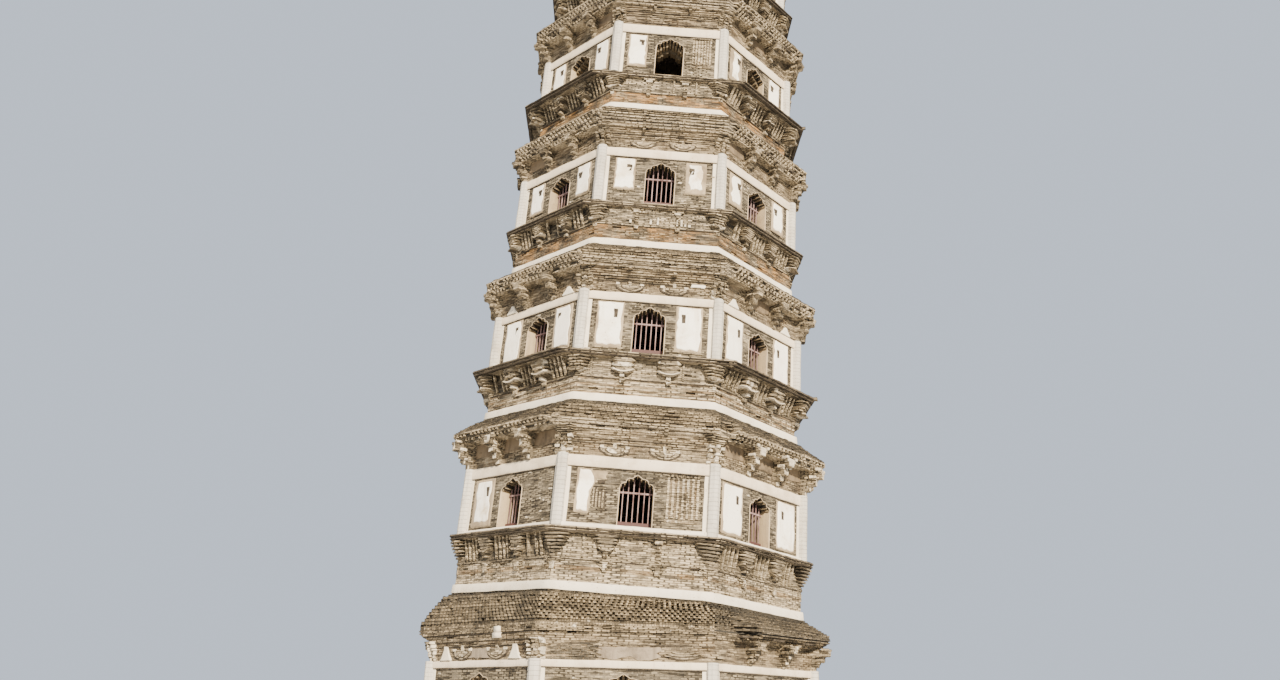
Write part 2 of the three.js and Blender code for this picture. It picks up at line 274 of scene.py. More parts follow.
# Brick: each brick its own tone, joints that run from lime to open gaps, soot and orange patches, and lime where
# the piece's lime value beats the noise. Courses come from the piece's own map, or on a flat wall from its height
# and the way along it.
def brickMaterial(name, tones, joint, byMap=True, sootAndShade=0.5, jointSize=0.10, crackAmount=0.64):
    paint = Paint(name, 0.92)
    times, plus, minus, mix, spots = paint.times, paint.plus, paint.minus, paint.mix, paint.spots
    if byMap:
        where = paint.node("UVMap", uv_map="courses").outputs["UV"]
    else:
        normal = paint.node("NewGeometry").outputs["True Normal"]
        side = paint.node("VectorMath", {0: (0, 0, 1), 1: normal}, operation="CROSS_PRODUCT").outputs[0]
        along = paint.node("VectorMath", {0: side, 1: paint.spot}, operation="DOT_PRODUCT").outputs["Value"]
        where = paint.node("CombineXYZ", {0: paint.maths("DIVIDE", along, brickLength),
                                          1: paint.maths("DIVIDE", paint.height(), courseHeight)}).outputs[0]
    # courses wander a little, and bricks differ in length
    wander = paint.node("TexNoise", {"Vector": paint.spot, "Scale": 3.0, "Detail": 2.0}).outputs["Color"]
    where = paint.node("VectorMath", {0: wander, 1: (1.3, 0.35, 0.0), 2: where}, operation="MULTIPLY_ADD").outputs[0]
    bricks = paint.bricks(where, (jointSize, 0.3, 1.0, 1.0), ((0, 0, 0), (1, 1, 1), (0.5, 0.5, 0.5))).outputs
    tone, lime = paint.stored("tone"), paint.stored("lime")
    grain = spots(34.0, 0.3, 0.7)
    patches = times(spots(2.6, 0.3, 0.7, detail=7.0, stretch=(1, 1, 1.5)), 0.42)
    mixed = plus(times(bricks["Color"], 0.50), times(grain, 0.24))
    mixed = minus(plus(mixed, patches), 0.08, clamp=True)
    if byMap:                     # a tone value under one half makes the brick paler
        mixed = plus(mixed, times(minus(0.5, tone, clamp=True), 0.8), clamp=True)
    jointColour = mix(spots(2.2, 0.39, 0.53), joint, brickLook["crack"])
    colour = mix(times(bricks["Fac"], 0.85), paint.ramp(mixed, tones), jointColour)
    # orange where the tone value is high, soot in broad streaks
    warm = times(minus(tone, 0.5, clamp=True), spots(3.0, 0.35, 0.6), clamp=True)
    colour = mix(times(warm, 1.6, clamp=True), colour, brickLook["orange"])
    colour = mix(times(spots(1.6, 0.5, 0.72, stretch=(1, 1, 0.45)), sootAndShade), colour, brickLook["sootAndShade"])
    # short level gaps where a course has weathered back
    cracks = spots(2.8, 0.54, 0.60, detail=2.0, stretch=(1, 1, 10))
    colour = mix(times(cracks, crackAmount), colour, brickLook["crack"])
    covered = paint.levels(plus(lime, times(spots(7.0, 0.2, 0.8), 0.7)), 0.84, 0.92)
    colour = mix(covered, colour, mix(spots(4.0, 0.35, 0.75), brickLook["lime"], brickLook["oldLime"]))
    # a lime value below nought paints the soot colour instead: soot on single bricks and rubble, painted shade on
    # recessed courses, under the lip and on the caps
    colour = mix(times(lime, -1.0, clamp=True), colour, brickLook["sootAndShade"])
    joints = times(minus(1.0, bricks["Fac"]), minus(1.0, covered))
    raised = plus(plus(joints, times(bricks["Color"], 0.5)), times(grain, 0.35))
    return paint.finish(colour, minus(raised, cracks), 0.010)


plasterLook = {
    "post": ((0.500, 0.470, 0.420), (0.330, 0.295, 0.245)),
    "lintel": ((0.670, 0.575, 0.440), (0.420, 0.345, 0.245)),
    "panel": ((0.930, 0.900, 0.830), (0.560, 0.450, 0.300)),
    "reveal": ((0.440, 0.340, 0.215), (0.250, 0.185, 0.115)),
    "tan": ((0.345, 0.272, 0.180), (0.170, 0.130, 0.086)),
    "ochre": ((0.175, 0.130, 0.082), (0.070, 0.053, 0.036)),
    "band": ((0.680, 0.610, 0.490), (0.380, 0.300, 0.200)),
    "whitest": (0.82, 0.77, 0.68),
    "vault": ((0.007, 0.006, 0.005), (0.030, 0.025, 0.019)),
}


# Plaster: two close tones in patches, thin streaks down it, a faint level joint, fine grain. Its lime value keeps
# it whiter and cleaner.
def plasterMaterial(name, joints=0.0, stain=0.6, vault=False):
    paint = Paint(name + "Plaster", 0.85)
    times, minus, mix, spots = paint.times, paint.minus, paint.mix, paint.spots
    clean, stained = plasterLook[name]
    lime = paint.stored("lime")
    wear = times(minus(1.0, lime, clamp=True), stain)
    dirt = paint.maths("MAXIMUM", spots(2.6, 0.48, 0.66, detail=8.0), spots(9.0, 0.52, 0.75, stretch=(1, 1, 0.10)))
    dirty = times(dirt, wear)
    colour = mix(times(lime, 0.6, clamp=True), clean, plasterLook["whitest"])
    colour = mix(dirty, colour, stained)
    colour = mix(times(spots(22.0, 0.62, 0.70), 0.55), colour, tuple(0.45 * c for c in stained))
    raised = minus(times(spots(40.0, 0.3, 0.7), 0.5), dirty)
    if joints:
        line = paint.maths("LESS_THAN", paint.maths("PINGPONG", paint.height(), joints), 0.003)
        colour = mix(times(line, 0.35), colour, tuple(0.5 * c for c in stained))
        raised = minus(raised, line)
    if vault:                     # a tone value over one half turns it to near-black corbelled brick: painted shade in the head and deep in the doorway
        sooty = times(minus(paint.stored("tone"), 0.5, clamp=True), 2.0)
        colour = mix(sooty, colour, mix(spots(18.0, 0.35, 0.65), *plasterLook["vault"]))
    return paint.finish(colour, raised, 0.004)


barLook = {"paint": (0.075, 0.034, 0.033), "worn": (0.290, 0.205, 0.205)}


# Old red paint on wood: worn patches along the grain, fine cracks down it. Its lime value says how worn it is.
def paintedWood(name):
    paint = Paint(name, 0.6)
    worn = paint.times(paint.spots(12.0, 0.34, 0.62, stretch=(1, 1, 0.2)), paint.stored("lime"))
    colour = paint.mix(worn, barLook["paint"], barLook["worn"])
    return paint.finish(colour, paint.spots(60.0, 0.35, 0.7, stretch=(1, 1, 0.15)), 0.002)


floorLook = {
    "sizes": (0.006, 0.2, 0.2, 0.2),
    "tones": ((0.230, 0.200, 0.160), (0.340, 0.300, 0.240), (0.120, 0.105, 0.085)),
    "dust": (0.420, 0.380, 0.310),
}


# Square floor bricks: level courses both ways from the Object coordinates, dusty.
def floorMaterial(name):
    paint = Paint(name, 0.9)
    bricks = paint.bricks(paint.spot, floorLook["sizes"], floorLook["tones"]).outputs
    colour = paint.mix(paint.times(paint.spots(2.5, 0.4, 0.75), 0.6), bricks["Color"], floorLook["dust"])
    return paint.finish(colour, paint.minus(paint.spots(20.0, 0.3, 0.7), bricks["Fac"]), 0.004)


# Painted shade: near-black in two tones in small spots, for the insides of putlog holes and slots, for open
# joints and for dark strips laid where shadows fall.
def paintedShadeMaterial(name):
    paint = Paint(name, 0.95)
    return paint.finish(paint.mix(paint.spots(14.0, 0.4, 0.7), (0.030, 0.024, 0.018), (0.085, 0.068, 0.050)))


wallBrick = brickMaterial("wallBrick", brickLook["wallTones"], brickLook["wallJoint"], byMap=False, sootAndShade=0.35,
                          jointSize=0.13, crackAmount=0.8)
wallCourses = brickMaterial("wallCourses", brickLook["wallTones"], brickLook["wallJoint"], sootAndShade=0.2, jointSize=0.04,
                            crackAmount=0.3)
courseBrick = brickMaterial("courseBrick", brickLook["tones"], brickLook["joint"], sootAndShade=0.4)
eaveBrick = brickMaterial("eaveBrick", brickLook["darkTones"], brickLook["darkJoint"], sootAndShade=0.4)
roofBrick = brickMaterial("roofBrick", brickLook["darkTones"], brickLook["darkJoint"], byMap=False)
postPlaster = plasterMaterial("post", joints=0.038)
bandPlaster = plasterMaterial("band")
lintelPlaster = plasterMaterial("lintel")
panelPlaster = plasterMaterial("panel", stain=0.9)
revealPlaster = plasterMaterial("reveal", vault=True)
tanPlaster = plasterMaterial("tan", stain=0.9)
ochrePlaster = plasterMaterial("ochre", stain=1.0)
barPaint = paintedWood("barPaint")
pavedFloor = floorMaterial("pavedFloor")
paintedShadeDark = paintedShadeMaterial("paintedShadeDark")
print("materials ready")


# The left and right end of a flat: along it by (d2 - d1 cos t) / sin t from its middle, for each neighbour.
def flatEnds(out, before, after):
    return tuple(sign * (other - out * math.cos(turn)) / math.sin(turn) for sign, other in ((-1, before), (1, after)))


# The same for all eight faces at once, from their distances.
def faceEnds(out):
    return flatEnds(out, np.roll(out, 1, axis=-1), np.roll(out, -1, axis=-1))


# Courses round the tower. Brick b of course c on face f stands at the flat distance plus proud[c, f, b], and its
# ends lie between the planes of the two neighbouring faces. Odd courses are shifted by half a brick, and missing
# bricks step back. Between the two heights of fanned the lean grows from nothing to the whole.
def courseRing(heap, low, high, proud, look, seed, fanned=None):
    storey, count, bricks = heap.storey, len(low), look["bricks"]
    base = storey.out + np.broadcast_to(proud, (count, 8, bricks))
    ends = flatEnds(base, np.roll(base, 1, axis=1)[:, :, -1:], np.roll(base, -1, axis=1)[:, :, :1])
    leftEnd, rightEnd = (np.repeat(v, 2, axis=-1) for v in ends)
    brick, courseNo, faceNo = np.arange(bricks), np.arange(count)[:, None, None], faces[:, None]
    odd = courseNo[:, 0] % 2 * 0.5
    shift = odd * (1 - look.get("inLine", np.zeros(count)))[:, None]
    share = np.clip((brick[:, None] + shift[:, :, None] + [0.03, 0.97]) / bricks, 0, 1).reshape(count, 1, -1)
    along = leftEnd + (rightEnd - leftEnd) * share                   # (courses, faces, brick ends)
    brickNo = faceNo * bricks + brick
    moved = (chance(courseNo, brickNo, seed) - 0.6) * 2 * look["jitter"]
    gone = chance(courseNo + 0.5, brickNo, seed + 3) < look["broken"]
    moved = np.where(gone, -look["lostDepth"] * (0.4 + chance(brickNo, courseNo, seed + 5)), moved)
    moved = moved - look.get("alternate", 0) * ((brick + courseNo) % 2)
    depth = np.repeat(base + moved, 2, axis=-1)
    depth += look["sway"] * softNoise(along * 0.9 + faceNo * 7.0, low[:, None, None] * 2.2, seed + 11)
    loose = look["loose"] * (chance(brickNo, courseNo + 31, seed + 13) - 0.5)
    loose = np.repeat(np.broadcast_to(loose, base.shape), 2, axis=-1)
    rows = np.stack([place(faceNo * turn, along, depth, edge[:, None, None] + loose) for edge in (low, high)], axis=1)
    backOut = np.full((1, 8), storey.out - look["back"])
    backLeft, backRight = (v[..., None] for v in faceEnds(backOut))
    backAlong = backLeft + (backRight - backLeft) * share[:1]
    backRows = [place(faceNo * turn, backAlong, backOut[..., None], up) for up in (low[0], high[-1])]
    rows = np.concatenate([backRows[0], rows.reshape(count * 2, 8, bricks * 2, 3), backRows[1]])
    rows = rows.reshape(count * 2 + 2, -1, 3)
    # small rise and fall of every course, the same for the courses that meet
    wave = softNoise(np.arctan2(rows[..., 1], rows[..., 0]) * 4.0 + 20, rows[..., 2] * 3.0, seed + 7)
    rows[..., 2] += look["wave"] * wave
    rows = leaned(rows, np.clip((rows[..., 2] - fanned[0]) / (fanned[1] - fanned[0]), 0, 1)
                  if fanned else storey.lean)
    total, width = rows.shape[:2]
    # the map counts bricks sideways and courses upwards; a ledge deeper than a brick shows courses of its own
    sideways = np.repeat((faceNo * bricks + share * bricks).reshape(count, width) + odd - shift, 2, axis=0)
    lowSide = np.concatenate([sideways[:1], sideways, sideways[-1:]])
    nextSide = np.concatenate([lowSide[:, 1:], lowSide[:, :1] + 8 * bricks], axis=1)
    back = [storey.out - look["back"]]
    ledge = np.abs(np.diff(np.concatenate([back, np.repeat(base.mean(axis=(1, 2)), 2), back])))
    steps = ledge[::2] / courseHeight
    rise = np.zeros((total, 2))
    rise[1:-1:2] = np.arange(count)[:, None] + [1.0, 2.0]
    rise[::2] = np.where(steps > 1.2, [3.0 + 0 * steps, 3.0 + steps], [[3.45], [3.55]]).T
    rise[-1] = (1.0, 1.0 + (high[-1] - low[0]) / courseHeight)
    lower, upper = (np.broadcast_to(rise[:, k:k + 1], lowSide.shape) for k in range(2))
    corners = np.stack([np.stack(corner, axis=-1) for corner in (
        (lowSide, lower), (nextSide, lower), (nextSide, upper), (lowSide, upper))], axis=2)
    lime, tone = (np.repeat(np.broadcast_to(look[key], base.shape), 2, axis=2) for key in ("lime", "tone"))
    lime, tone = (np.repeat(values.reshape(count, width), 2, axis=0) for values in (lime, tone))
    end = np.zeros((1, width))
    heap.add(rows, gridQuads(total, width, closeRows=True, closeCols=True), corners,
             np.concatenate([end, lime, end]), np.concatenate([end + 0.5, tone, end + 0.5]))


# A smooth ring of plaster: a profile of (proud, height) points carried round the faces, with soft noise in depth.
def smoothRing(heap, profile, look, seed):
    profile = np.asarray(profile, float)
    out = np.repeat((heap.storey.out + profile[:, :1]), 8, axis=1)
    left, right = (v[..., None] for v in faceEnds(out))
    along = left + (right - left) * (np.arange(look["steps"]) / look["steps"])
    up = np.broadcast_to(profile[:, 1, None, None], along.shape)
    uneven = softNoise(along * look["grain"] + faces[:, None] * 9, up * look["grain"], seed)
    edge = softNoise(along * 6 + faces[:, None] * 5, up * 9, seed + 1)
    inner = (profile[:, 0] < -0.01)[:, None, None]
    depth = out[..., None] + np.where(inner, 0, look["uneven"] * uneven)
    rows = place(faces[:, None] * turn, along, depth, up + np.where(inner, 0, look["edge"] * edge))
    rows = leaned(rows.reshape(len(profile), -1, 3), heap.storey.lean)
    heap.add(rows, gridQuads(*rows.shape[:2], closeRows=True, closeCols=True), lime=look["lime"])


# Blocks set on the faces: each spans along, out and up, with its corners moved a little. A taper draws its lower
# side in, and a tip moves its upper side further out.
def blocks(heap, angle, along, out, up, seed, lime=0.0, tone=0.5, loose=0.003, taper=0.0, tip=0.0):
    angle, a0, a1, o0, o1, z0, z1, lime, tone, tip = (np.ravel(v).astype(float) for v in np.broadcast_arrays(
        angle, *along, *out, *up, lime, tone, tip))
    cornerAlong = np.stack([a0, a1, a1, a0] * 2, axis=1)
    cornerOut = np.stack([o1, o1, o0, o0] * 2, axis=1)
    cornerUp = np.stack([z0] * 4 + [z1] * 4, axis=1)
    upper = np.array([0, 0, 0, 0, 1, 1, 1, 1])
    cornerAlong += ((a0 + a1)[:, None] / 2 - cornerAlong) * (taper * (1 - upper))
    cornerOut += upper * tip[:, None]
    item, corner = np.arange(len(angle))[:, None], np.arange(8)
    cornerAlong += loose * (2 * chance(item, corner, seed) - 1)
    cornerOut += np.array([1, 1, 0, 0, 1, 1, 0, 0]) * loose * (2 * chance(item, corner, seed + 1) - 1)
    cornerUp += loose * (2 * chance(item, corner, seed + 2) - 1)
    points = leaned(place(angle[:, None], cornerAlong, cornerOut, cornerUp), heap.storey.lean)
    sides = np.array([[0, 1, 5, 4], [1, 2, 6, 5], [2, 3, 7, 6], [3, 0, 4, 7], [4, 5, 6, 7], [3, 2, 1, 0]])
    quads = item[:, :, None] * 8 + sides
    mapping = np.stack([(cornerAlong + cornerOut) / brickLength + 40, cornerUp / courseHeight], axis=-1)
    heap.add(points, quads, mapping.reshape(-1, 2)[quads], np.repeat(lime, 8), np.repeat(tone, 8))


# Boat-shaped arms: at s from -1 to 1 along an arm its underside rises by lift times s squared, and its upper
# side by a share of that. The ends close on their own middle line.
def bowArms(heap, angle, centre, width, out, up, lift, seed, lime=0.0, tone=0.5, steps=6, follow=0.15):
    given = np.broadcast_arrays(angle, centre, width, *out, *up, lift, lime, tone)
    angle, centre, width, o0, o1, z0, z1, lift, lime, tone = (np.ravel(v).astype(float)[:, None] for v in given)
    item, size = np.arange(len(angle))[:, None, None], 4 * (steps + 1)
    s = np.linspace(-1, 1, steps + 1)
    along = centre + width / 2 * s
    under, over = z0 + lift * s ** 2, z1 + follow * lift * s ** 2
    outer = o1 - np.where(np.abs(s) > 0.99, 0.012, 0.0)
    rows = np.stack([place(angle, along, *edge) for edge in ((o0, under), (outer, under), (outer, over), (o0, over))],
                    axis=1)
    rows += 0.003 * (2 * chance(item, np.arange(4)[:, None] * 17 + np.arange(steps + 1), seed)[..., None] - 1)
    for end in (0, steps):
        rows[:, :, end] = rows[:, :, end] * 0.35 + rows[:, :, end].mean(axis=1, keepdims=True) * 0.65
    ends = np.array([[0, 1, 2, 3]]) * (steps + 1)
    quads = np.concatenate([(some + item * size).reshape(-1, 4) for some in (
        gridQuads(4, steps + 1, closeRows=True).reshape(-1, 4), np.concatenate([ends[:, ::-1], ends + steps]))])
    mapping = np.stack([np.broadcast_to((along / brickLength + 40)[:, None], rows.shape[:3]),
                        rows[..., 2] / courseHeight], axis=-1)
    heap.add(leaned(rows, heap.storey.lean), quads, mapping.reshape(-1, 2)[quads],
             np.repeat(lime, size), np.repeat(tone, size))


# A thin level line across a face, laid in eight lengths.
def levelLine(heap, face, out, up, rise, seed, lime=0.2, span=(-0.5, 0.5)):
    ends = np.linspace(*span, 9) * heap.storey.width
    blocks(heap, face * turn, (ends[:-1] - 0.004, ends[1:] + 0.004), (out - 0.05, out), (up, up + rise), seed, lime)


# A skin of plaster over a stretch of wall: a grid lifted by its thickness and thinned to nothing round a ragged
# edge, with a back that closes it. Its edges are given once, or at five heights from foot to head.
def plasterSkin(heap, face, leftEdge, rightEdge, foot, head, ragged, seed, thickness, lime, grid=(10, 8)):
    rows, cols = grid
    t = np.concatenate([[0, 0.012], np.linspace(0.04, 0.96, rows - 4), [0.988, 1]])
    s = np.concatenate([[0, 0.02], np.linspace(0.07, 0.93, cols - 4), [0.98, 1]])
    left, right = (np.interp(t, np.linspace(0, 1, 5), np.broadcast_to(edge, 5)) for edge in (leftEdge, rightEdge))
    left = left + ragged * np.abs(softNoise(t * 9, np.zeros_like(t), seed))
    right = right - ragged * np.abs(softNoise(t * 9, np.ones_like(t), seed + 1))
    along = left[:, None] + (right - left)[:, None] * s
    low = foot + ragged * np.abs(softNoise(s * 7, np.zeros_like(s), seed + 2))
    high = head - 0.4 * ragged * np.abs(softNoise(s * 7, np.zeros_like(s), seed + 3))
    up = low + (high - low) * t[:, None]
    inside = ((t > 0.001) & (t < 0.999))[:, None] & (s > 0.001) & (s < 0.999)
    lift = np.where(inside, thickness + 0.002 * softNoise(along * 9, up * 9, seed + 4), -0.003)
    skin = place(face * turn, along, heap.storey.out + lift, up)
    back = place(face * turn, along, heap.storey.out - 0.003, up)[::-1]
    points = leaned(np.concatenate([skin, back]), heap.storey.lean)
    heap.add(points, gridQuads(2 * rows, cols, closeRows=True), lime=lime)


eaveLook = {
    "bricks": 24,            # bricks along a face
    "groundBricks": 64,
    "rowBricks": 20,         # along the courses under the lip
    # rows of teeth under the lip, each between two flat courses
    "toothRows": {"ground": 0, "storey2": 2, "storey3": 3, "storey4": 4, "storey5": 4, "storey6": 3, "storey7": 3},
    "reach": (0.64, 1.0),    # of the first and last row, as shares of the eave's
    "flatRise": 0.028,
    "toothRise": 0.045,
    "rowDrop": 0.017,        # the rows start this far lower for each row of teeth
    "groundRises": [0.033, 0.033, 0.034, 0.020, 0.025, 0.020],     # courses without teeth, and their reach
    "groundReach": [0.45, 0.62, 0.80, 0.97, 0.90, 1.0],
    "slopeCourses": 13,
    "slopeJitter": 0.016,
    "toothBack": 0.055,      # the dark course behind the teeth stands this far back
    "teeth": 27,             # along a face
    "toothWidth": 0.040,
    "lineDepth": 0.024,      # every other course of a bare face stands back this far
    "broken": 0.05,
    "sway": 0.012,
    "rubble": 4,             # loose courses under the white band
    "groundLines": (0.42, 0.58),   # dark level lines over the lintel where the ground storey's eave is gone
    "netting": (0.625, 0.975),   # height over the lintel that the open brick netting takes, ground storey only
    "nettingDepth": 0.045,
}


# An eave: corbels, a lip with a sawtooth course, then courses stepping back up to the band. Where a face has lost
# it, the courses end at that face's reach and lie as thin level lines.
def buildEave(storey, above, seed):
    look, name, ground = eaveLook, storey.name, storey.ground
    bricks, toothRows, rubble = look["groundBricks" if ground else "bricks"], look["toothRows"][name], look["rubble"]
    reach = storey.eaveReach * flat
    foot = storey.beamTop + storey.bracketRise - look["rowDrop"] * toothRows
    head = storey.beamTop + tower["eaveRise"]
    topProud = ((above or storey).radius + 0.04 - storey.radius) * flat
    # flat courses step out, and where there are teeth a dark course stands back behind each row
    if toothRows:
        steps = np.linspace(*look["reach"], toothRows + 1) * reach
        rises = [look["flatRise"]] + [look["toothRise"], look["flatRise"]] * toothRows
        profile = np.full(len(rises), steps[0])
        profile[2::2] = steps[1:]
        profile[1::2] = steps[1:] - look["toothBack"]
    else:
        rises = look["groundRises"]
        profile = np.array(look["groundReach"]) * reach
    corbels, slope = len(rises), look["slopeCourses"]
    edges = foot + np.concatenate([[0], np.cumsum(rises)])
    lipTop = edges[-1]
    edges = np.concatenate([edges[:-1], lipTop + (head - lipTop) * np.arange(slope + 1) / slope])
    low, high = edges[:-1], edges[1:]
    count = len(low)
    upright = 2 if ground else 0
    down = np.concatenate([np.full(upright, 0.97), np.linspace(0.97, 0.0, slope - upright)])
    profile = np.concatenate([profile, topProud + (reach - topProud) * down])
    proud = np.tile(profile[:, None, None], (1, 8, bricks))
    alternate = np.zeros((count, 8, bricks))
    jitter, broken, loose, lime, tone = (np.full((count, 8, 1), value) for value in (
        look["slopeJitter"], look["broken"], 0.008, 0.0, 0.5))
    for values, value in ((jitter, 0.002), (broken, 0.2 * look["broken"]), (loose, 0), (lime, 0.20), (tone, 0.12)):
        values[:corbels] = value
    if toothRows:
        # the courses that stand back behind the teeth go near-black: painted shade between the teeth
        lime[1:corbels:2] = -0.85
    else:
        lime[corbels - 3:corbels] = np.array([-0.3, -1.0, -0.6])[:, None, None]
    lime[corbels:, 1:] = -0.45 if ground else -0.20
    # the courses taking turns pale and dark are painted light and shade in place of the steps between them
    tone[corbels:-rubble:2] = 0.22                # light and dark courses take turns up the slope
    over = (low + high) / 2 - storey.beamTop
    groove = np.abs(over[:, None] - look["groundLines"]).min(axis=1) < 0.018
    thin = -look["lineDepth"] * (groove if ground else np.arange(count) % 2)[:, None]
    netLow, netHigh = look["netting"]
    net = (over > netLow) & (over < netHigh) & ground
    for face, limit in storey.lost.items():
        proud[:, face] = np.minimum(proud[:, face], limit + thin)
        jitter[:, face], loose[:, face], broken[:, face] = 0.005, 0.003, 0.05
        tone[:-rubble, face], lime[:corbels, face] = 0.10, 0.12
        # every other course goes darker, the same courses that stand back on the storeys above: painted shade in the
        # lines
        lime[1:-rubble:2, face] = -0.25 if name in ("ground", "storey2", "storey3") else -0.55
        if ground:
            proud[net, face], alternate[net, face], tone[net, face] = limit, look["nettingDepth"], 0.12
            tone[over < netLow, face] = 0.0 if face == front else 0.2
            # the grooves keep a darker tone than the paler courses round them: painted shade in the grooves
            tone[groove, face] = 0.5
            lime[over < netLow, face] = 0.33
    jitter[-rubble:-1], jitter[-1], loose[-rubble:-1], broken[-rubble:] = 0.020, 0.006, 0.016, 0.16
    lime[-rubble:] -= 0.15
    # the right face's eave is broken off beside the front corner
    share = (np.arange(bricks) + 0.5) / bricks
    ragged = 0.04 * softNoise(np.arange(count) * 0.7, np.zeros(count), 5)[:, None]
    whole = np.clip((share - (0.16 if ground else 0.05) + ragged) / 0.05, 0, 1)
    if ground:
        alternate[net, 1] = look["nettingDepth"] * (1 - whole[net])
    proud[:, 1] = np.minimum(proud[:, 1], storey.frontReach) * (1 - whole) + proud[:, 1] * whole
    rows, slopes = Heap(storey), Heap(storey)
    for heap, span, number in ((rows, slice(0, corbels), look["rowBricks"]), (slopes, slice(corbels, count), bricks)):
        pick = np.linspace(0, bricks - 1, number).round().astype(int)
        ring = {"bricks": number, "jitter": jitter[span], "broken": broken[span], "lostDepth": 0.035,
                "alternate": alternate[span][:, :, pick], "loose": loose[span], "inLine": net[span] * 1.0,
                "sway": look["sway"], "wave": 0.003, "back": storey.back, "lime": lime[span], "tone": tone[span]}
        courseRing(heap, low[span], high[span], proud[span][:, :, pick], ring, seed, (lipTop,
                                                                                      head) if ground else None)
    # the rows of teeth on the faces that keep their eave
    for row in range(toothRows):
        out = storey.out + steps[row + 1]
        share = (np.arange(look["teeth"]) + 0.5 * (1 + row % 2)) / look["teeth"] * 2 - 1
        face, share = pairs(storey.kept, share)
        ready = ((face != 1) | (share > -0.84)) & (chance(share * 97, face, 3 + row) > 0.08)
        face, share = face[ready], share[ready]
        toothFoot = foot + look["flatRise"] + row * (look["flatRise"] + look["toothRise"])
        blocks(rows, face * turn, around(share * (out * math.tan(turn / 2)), look["toothWidth"] / 2),
               (out - look["toothBack"] - 0.02, out - 0.006), (toothFoot - 0.002,
                                                               toothFoot + look["toothRise"] + 0.002),
               5 + row, 0.15, 0.0)
    rows.piece("eaveRows", eaveBrick if ground else courseBrick, "eave_brick")
    slopes.piece("eaveCourses", eaveBrick, "eave_brick", ["eave"])


balconyLook = {
    "bandRise": 0.128,
    "bandDrop": 0.022,       # how far the band hangs over the slope below it
    "bandProud": 0.040,
    "stringShare": 0.54,
    "stringRise": 0.024,
    "stringProud": 0.024,
    "lipRise": 0.100,
    "lipShares": (0.74, 0.56, 0.92, 0.70, 1.00),
    "ribs": 24,
    "ribWidth": 0.036,
    "orange": {"storey2": 0.30, "storey3": 0.35, "storey4": 0.85, "storey5": 1.00, "storey6": 0.95, "storey7": 0.95},
    # small white jambs and blocks left on storey 4's front: middle, half width, height
    "jambs": ([-0.52, -0.12, 0.02, 0.40, 0.485, 0.56, 0.64], [0.022, 0.020, 0.018, 0.018, 0.018, 0.016, 0.028],
              [0.07, 0.10, 0.16, 0.14, 0.14, 0.05, 0.05]),
    "hooks": [1, 3, 5],      # corners of the lip that keep a hooked stone
}
whiteLook = {"steps": 18, "grain": 2.5, "uneven": 0.006, "edge": 0.007, "lime": 0.5}


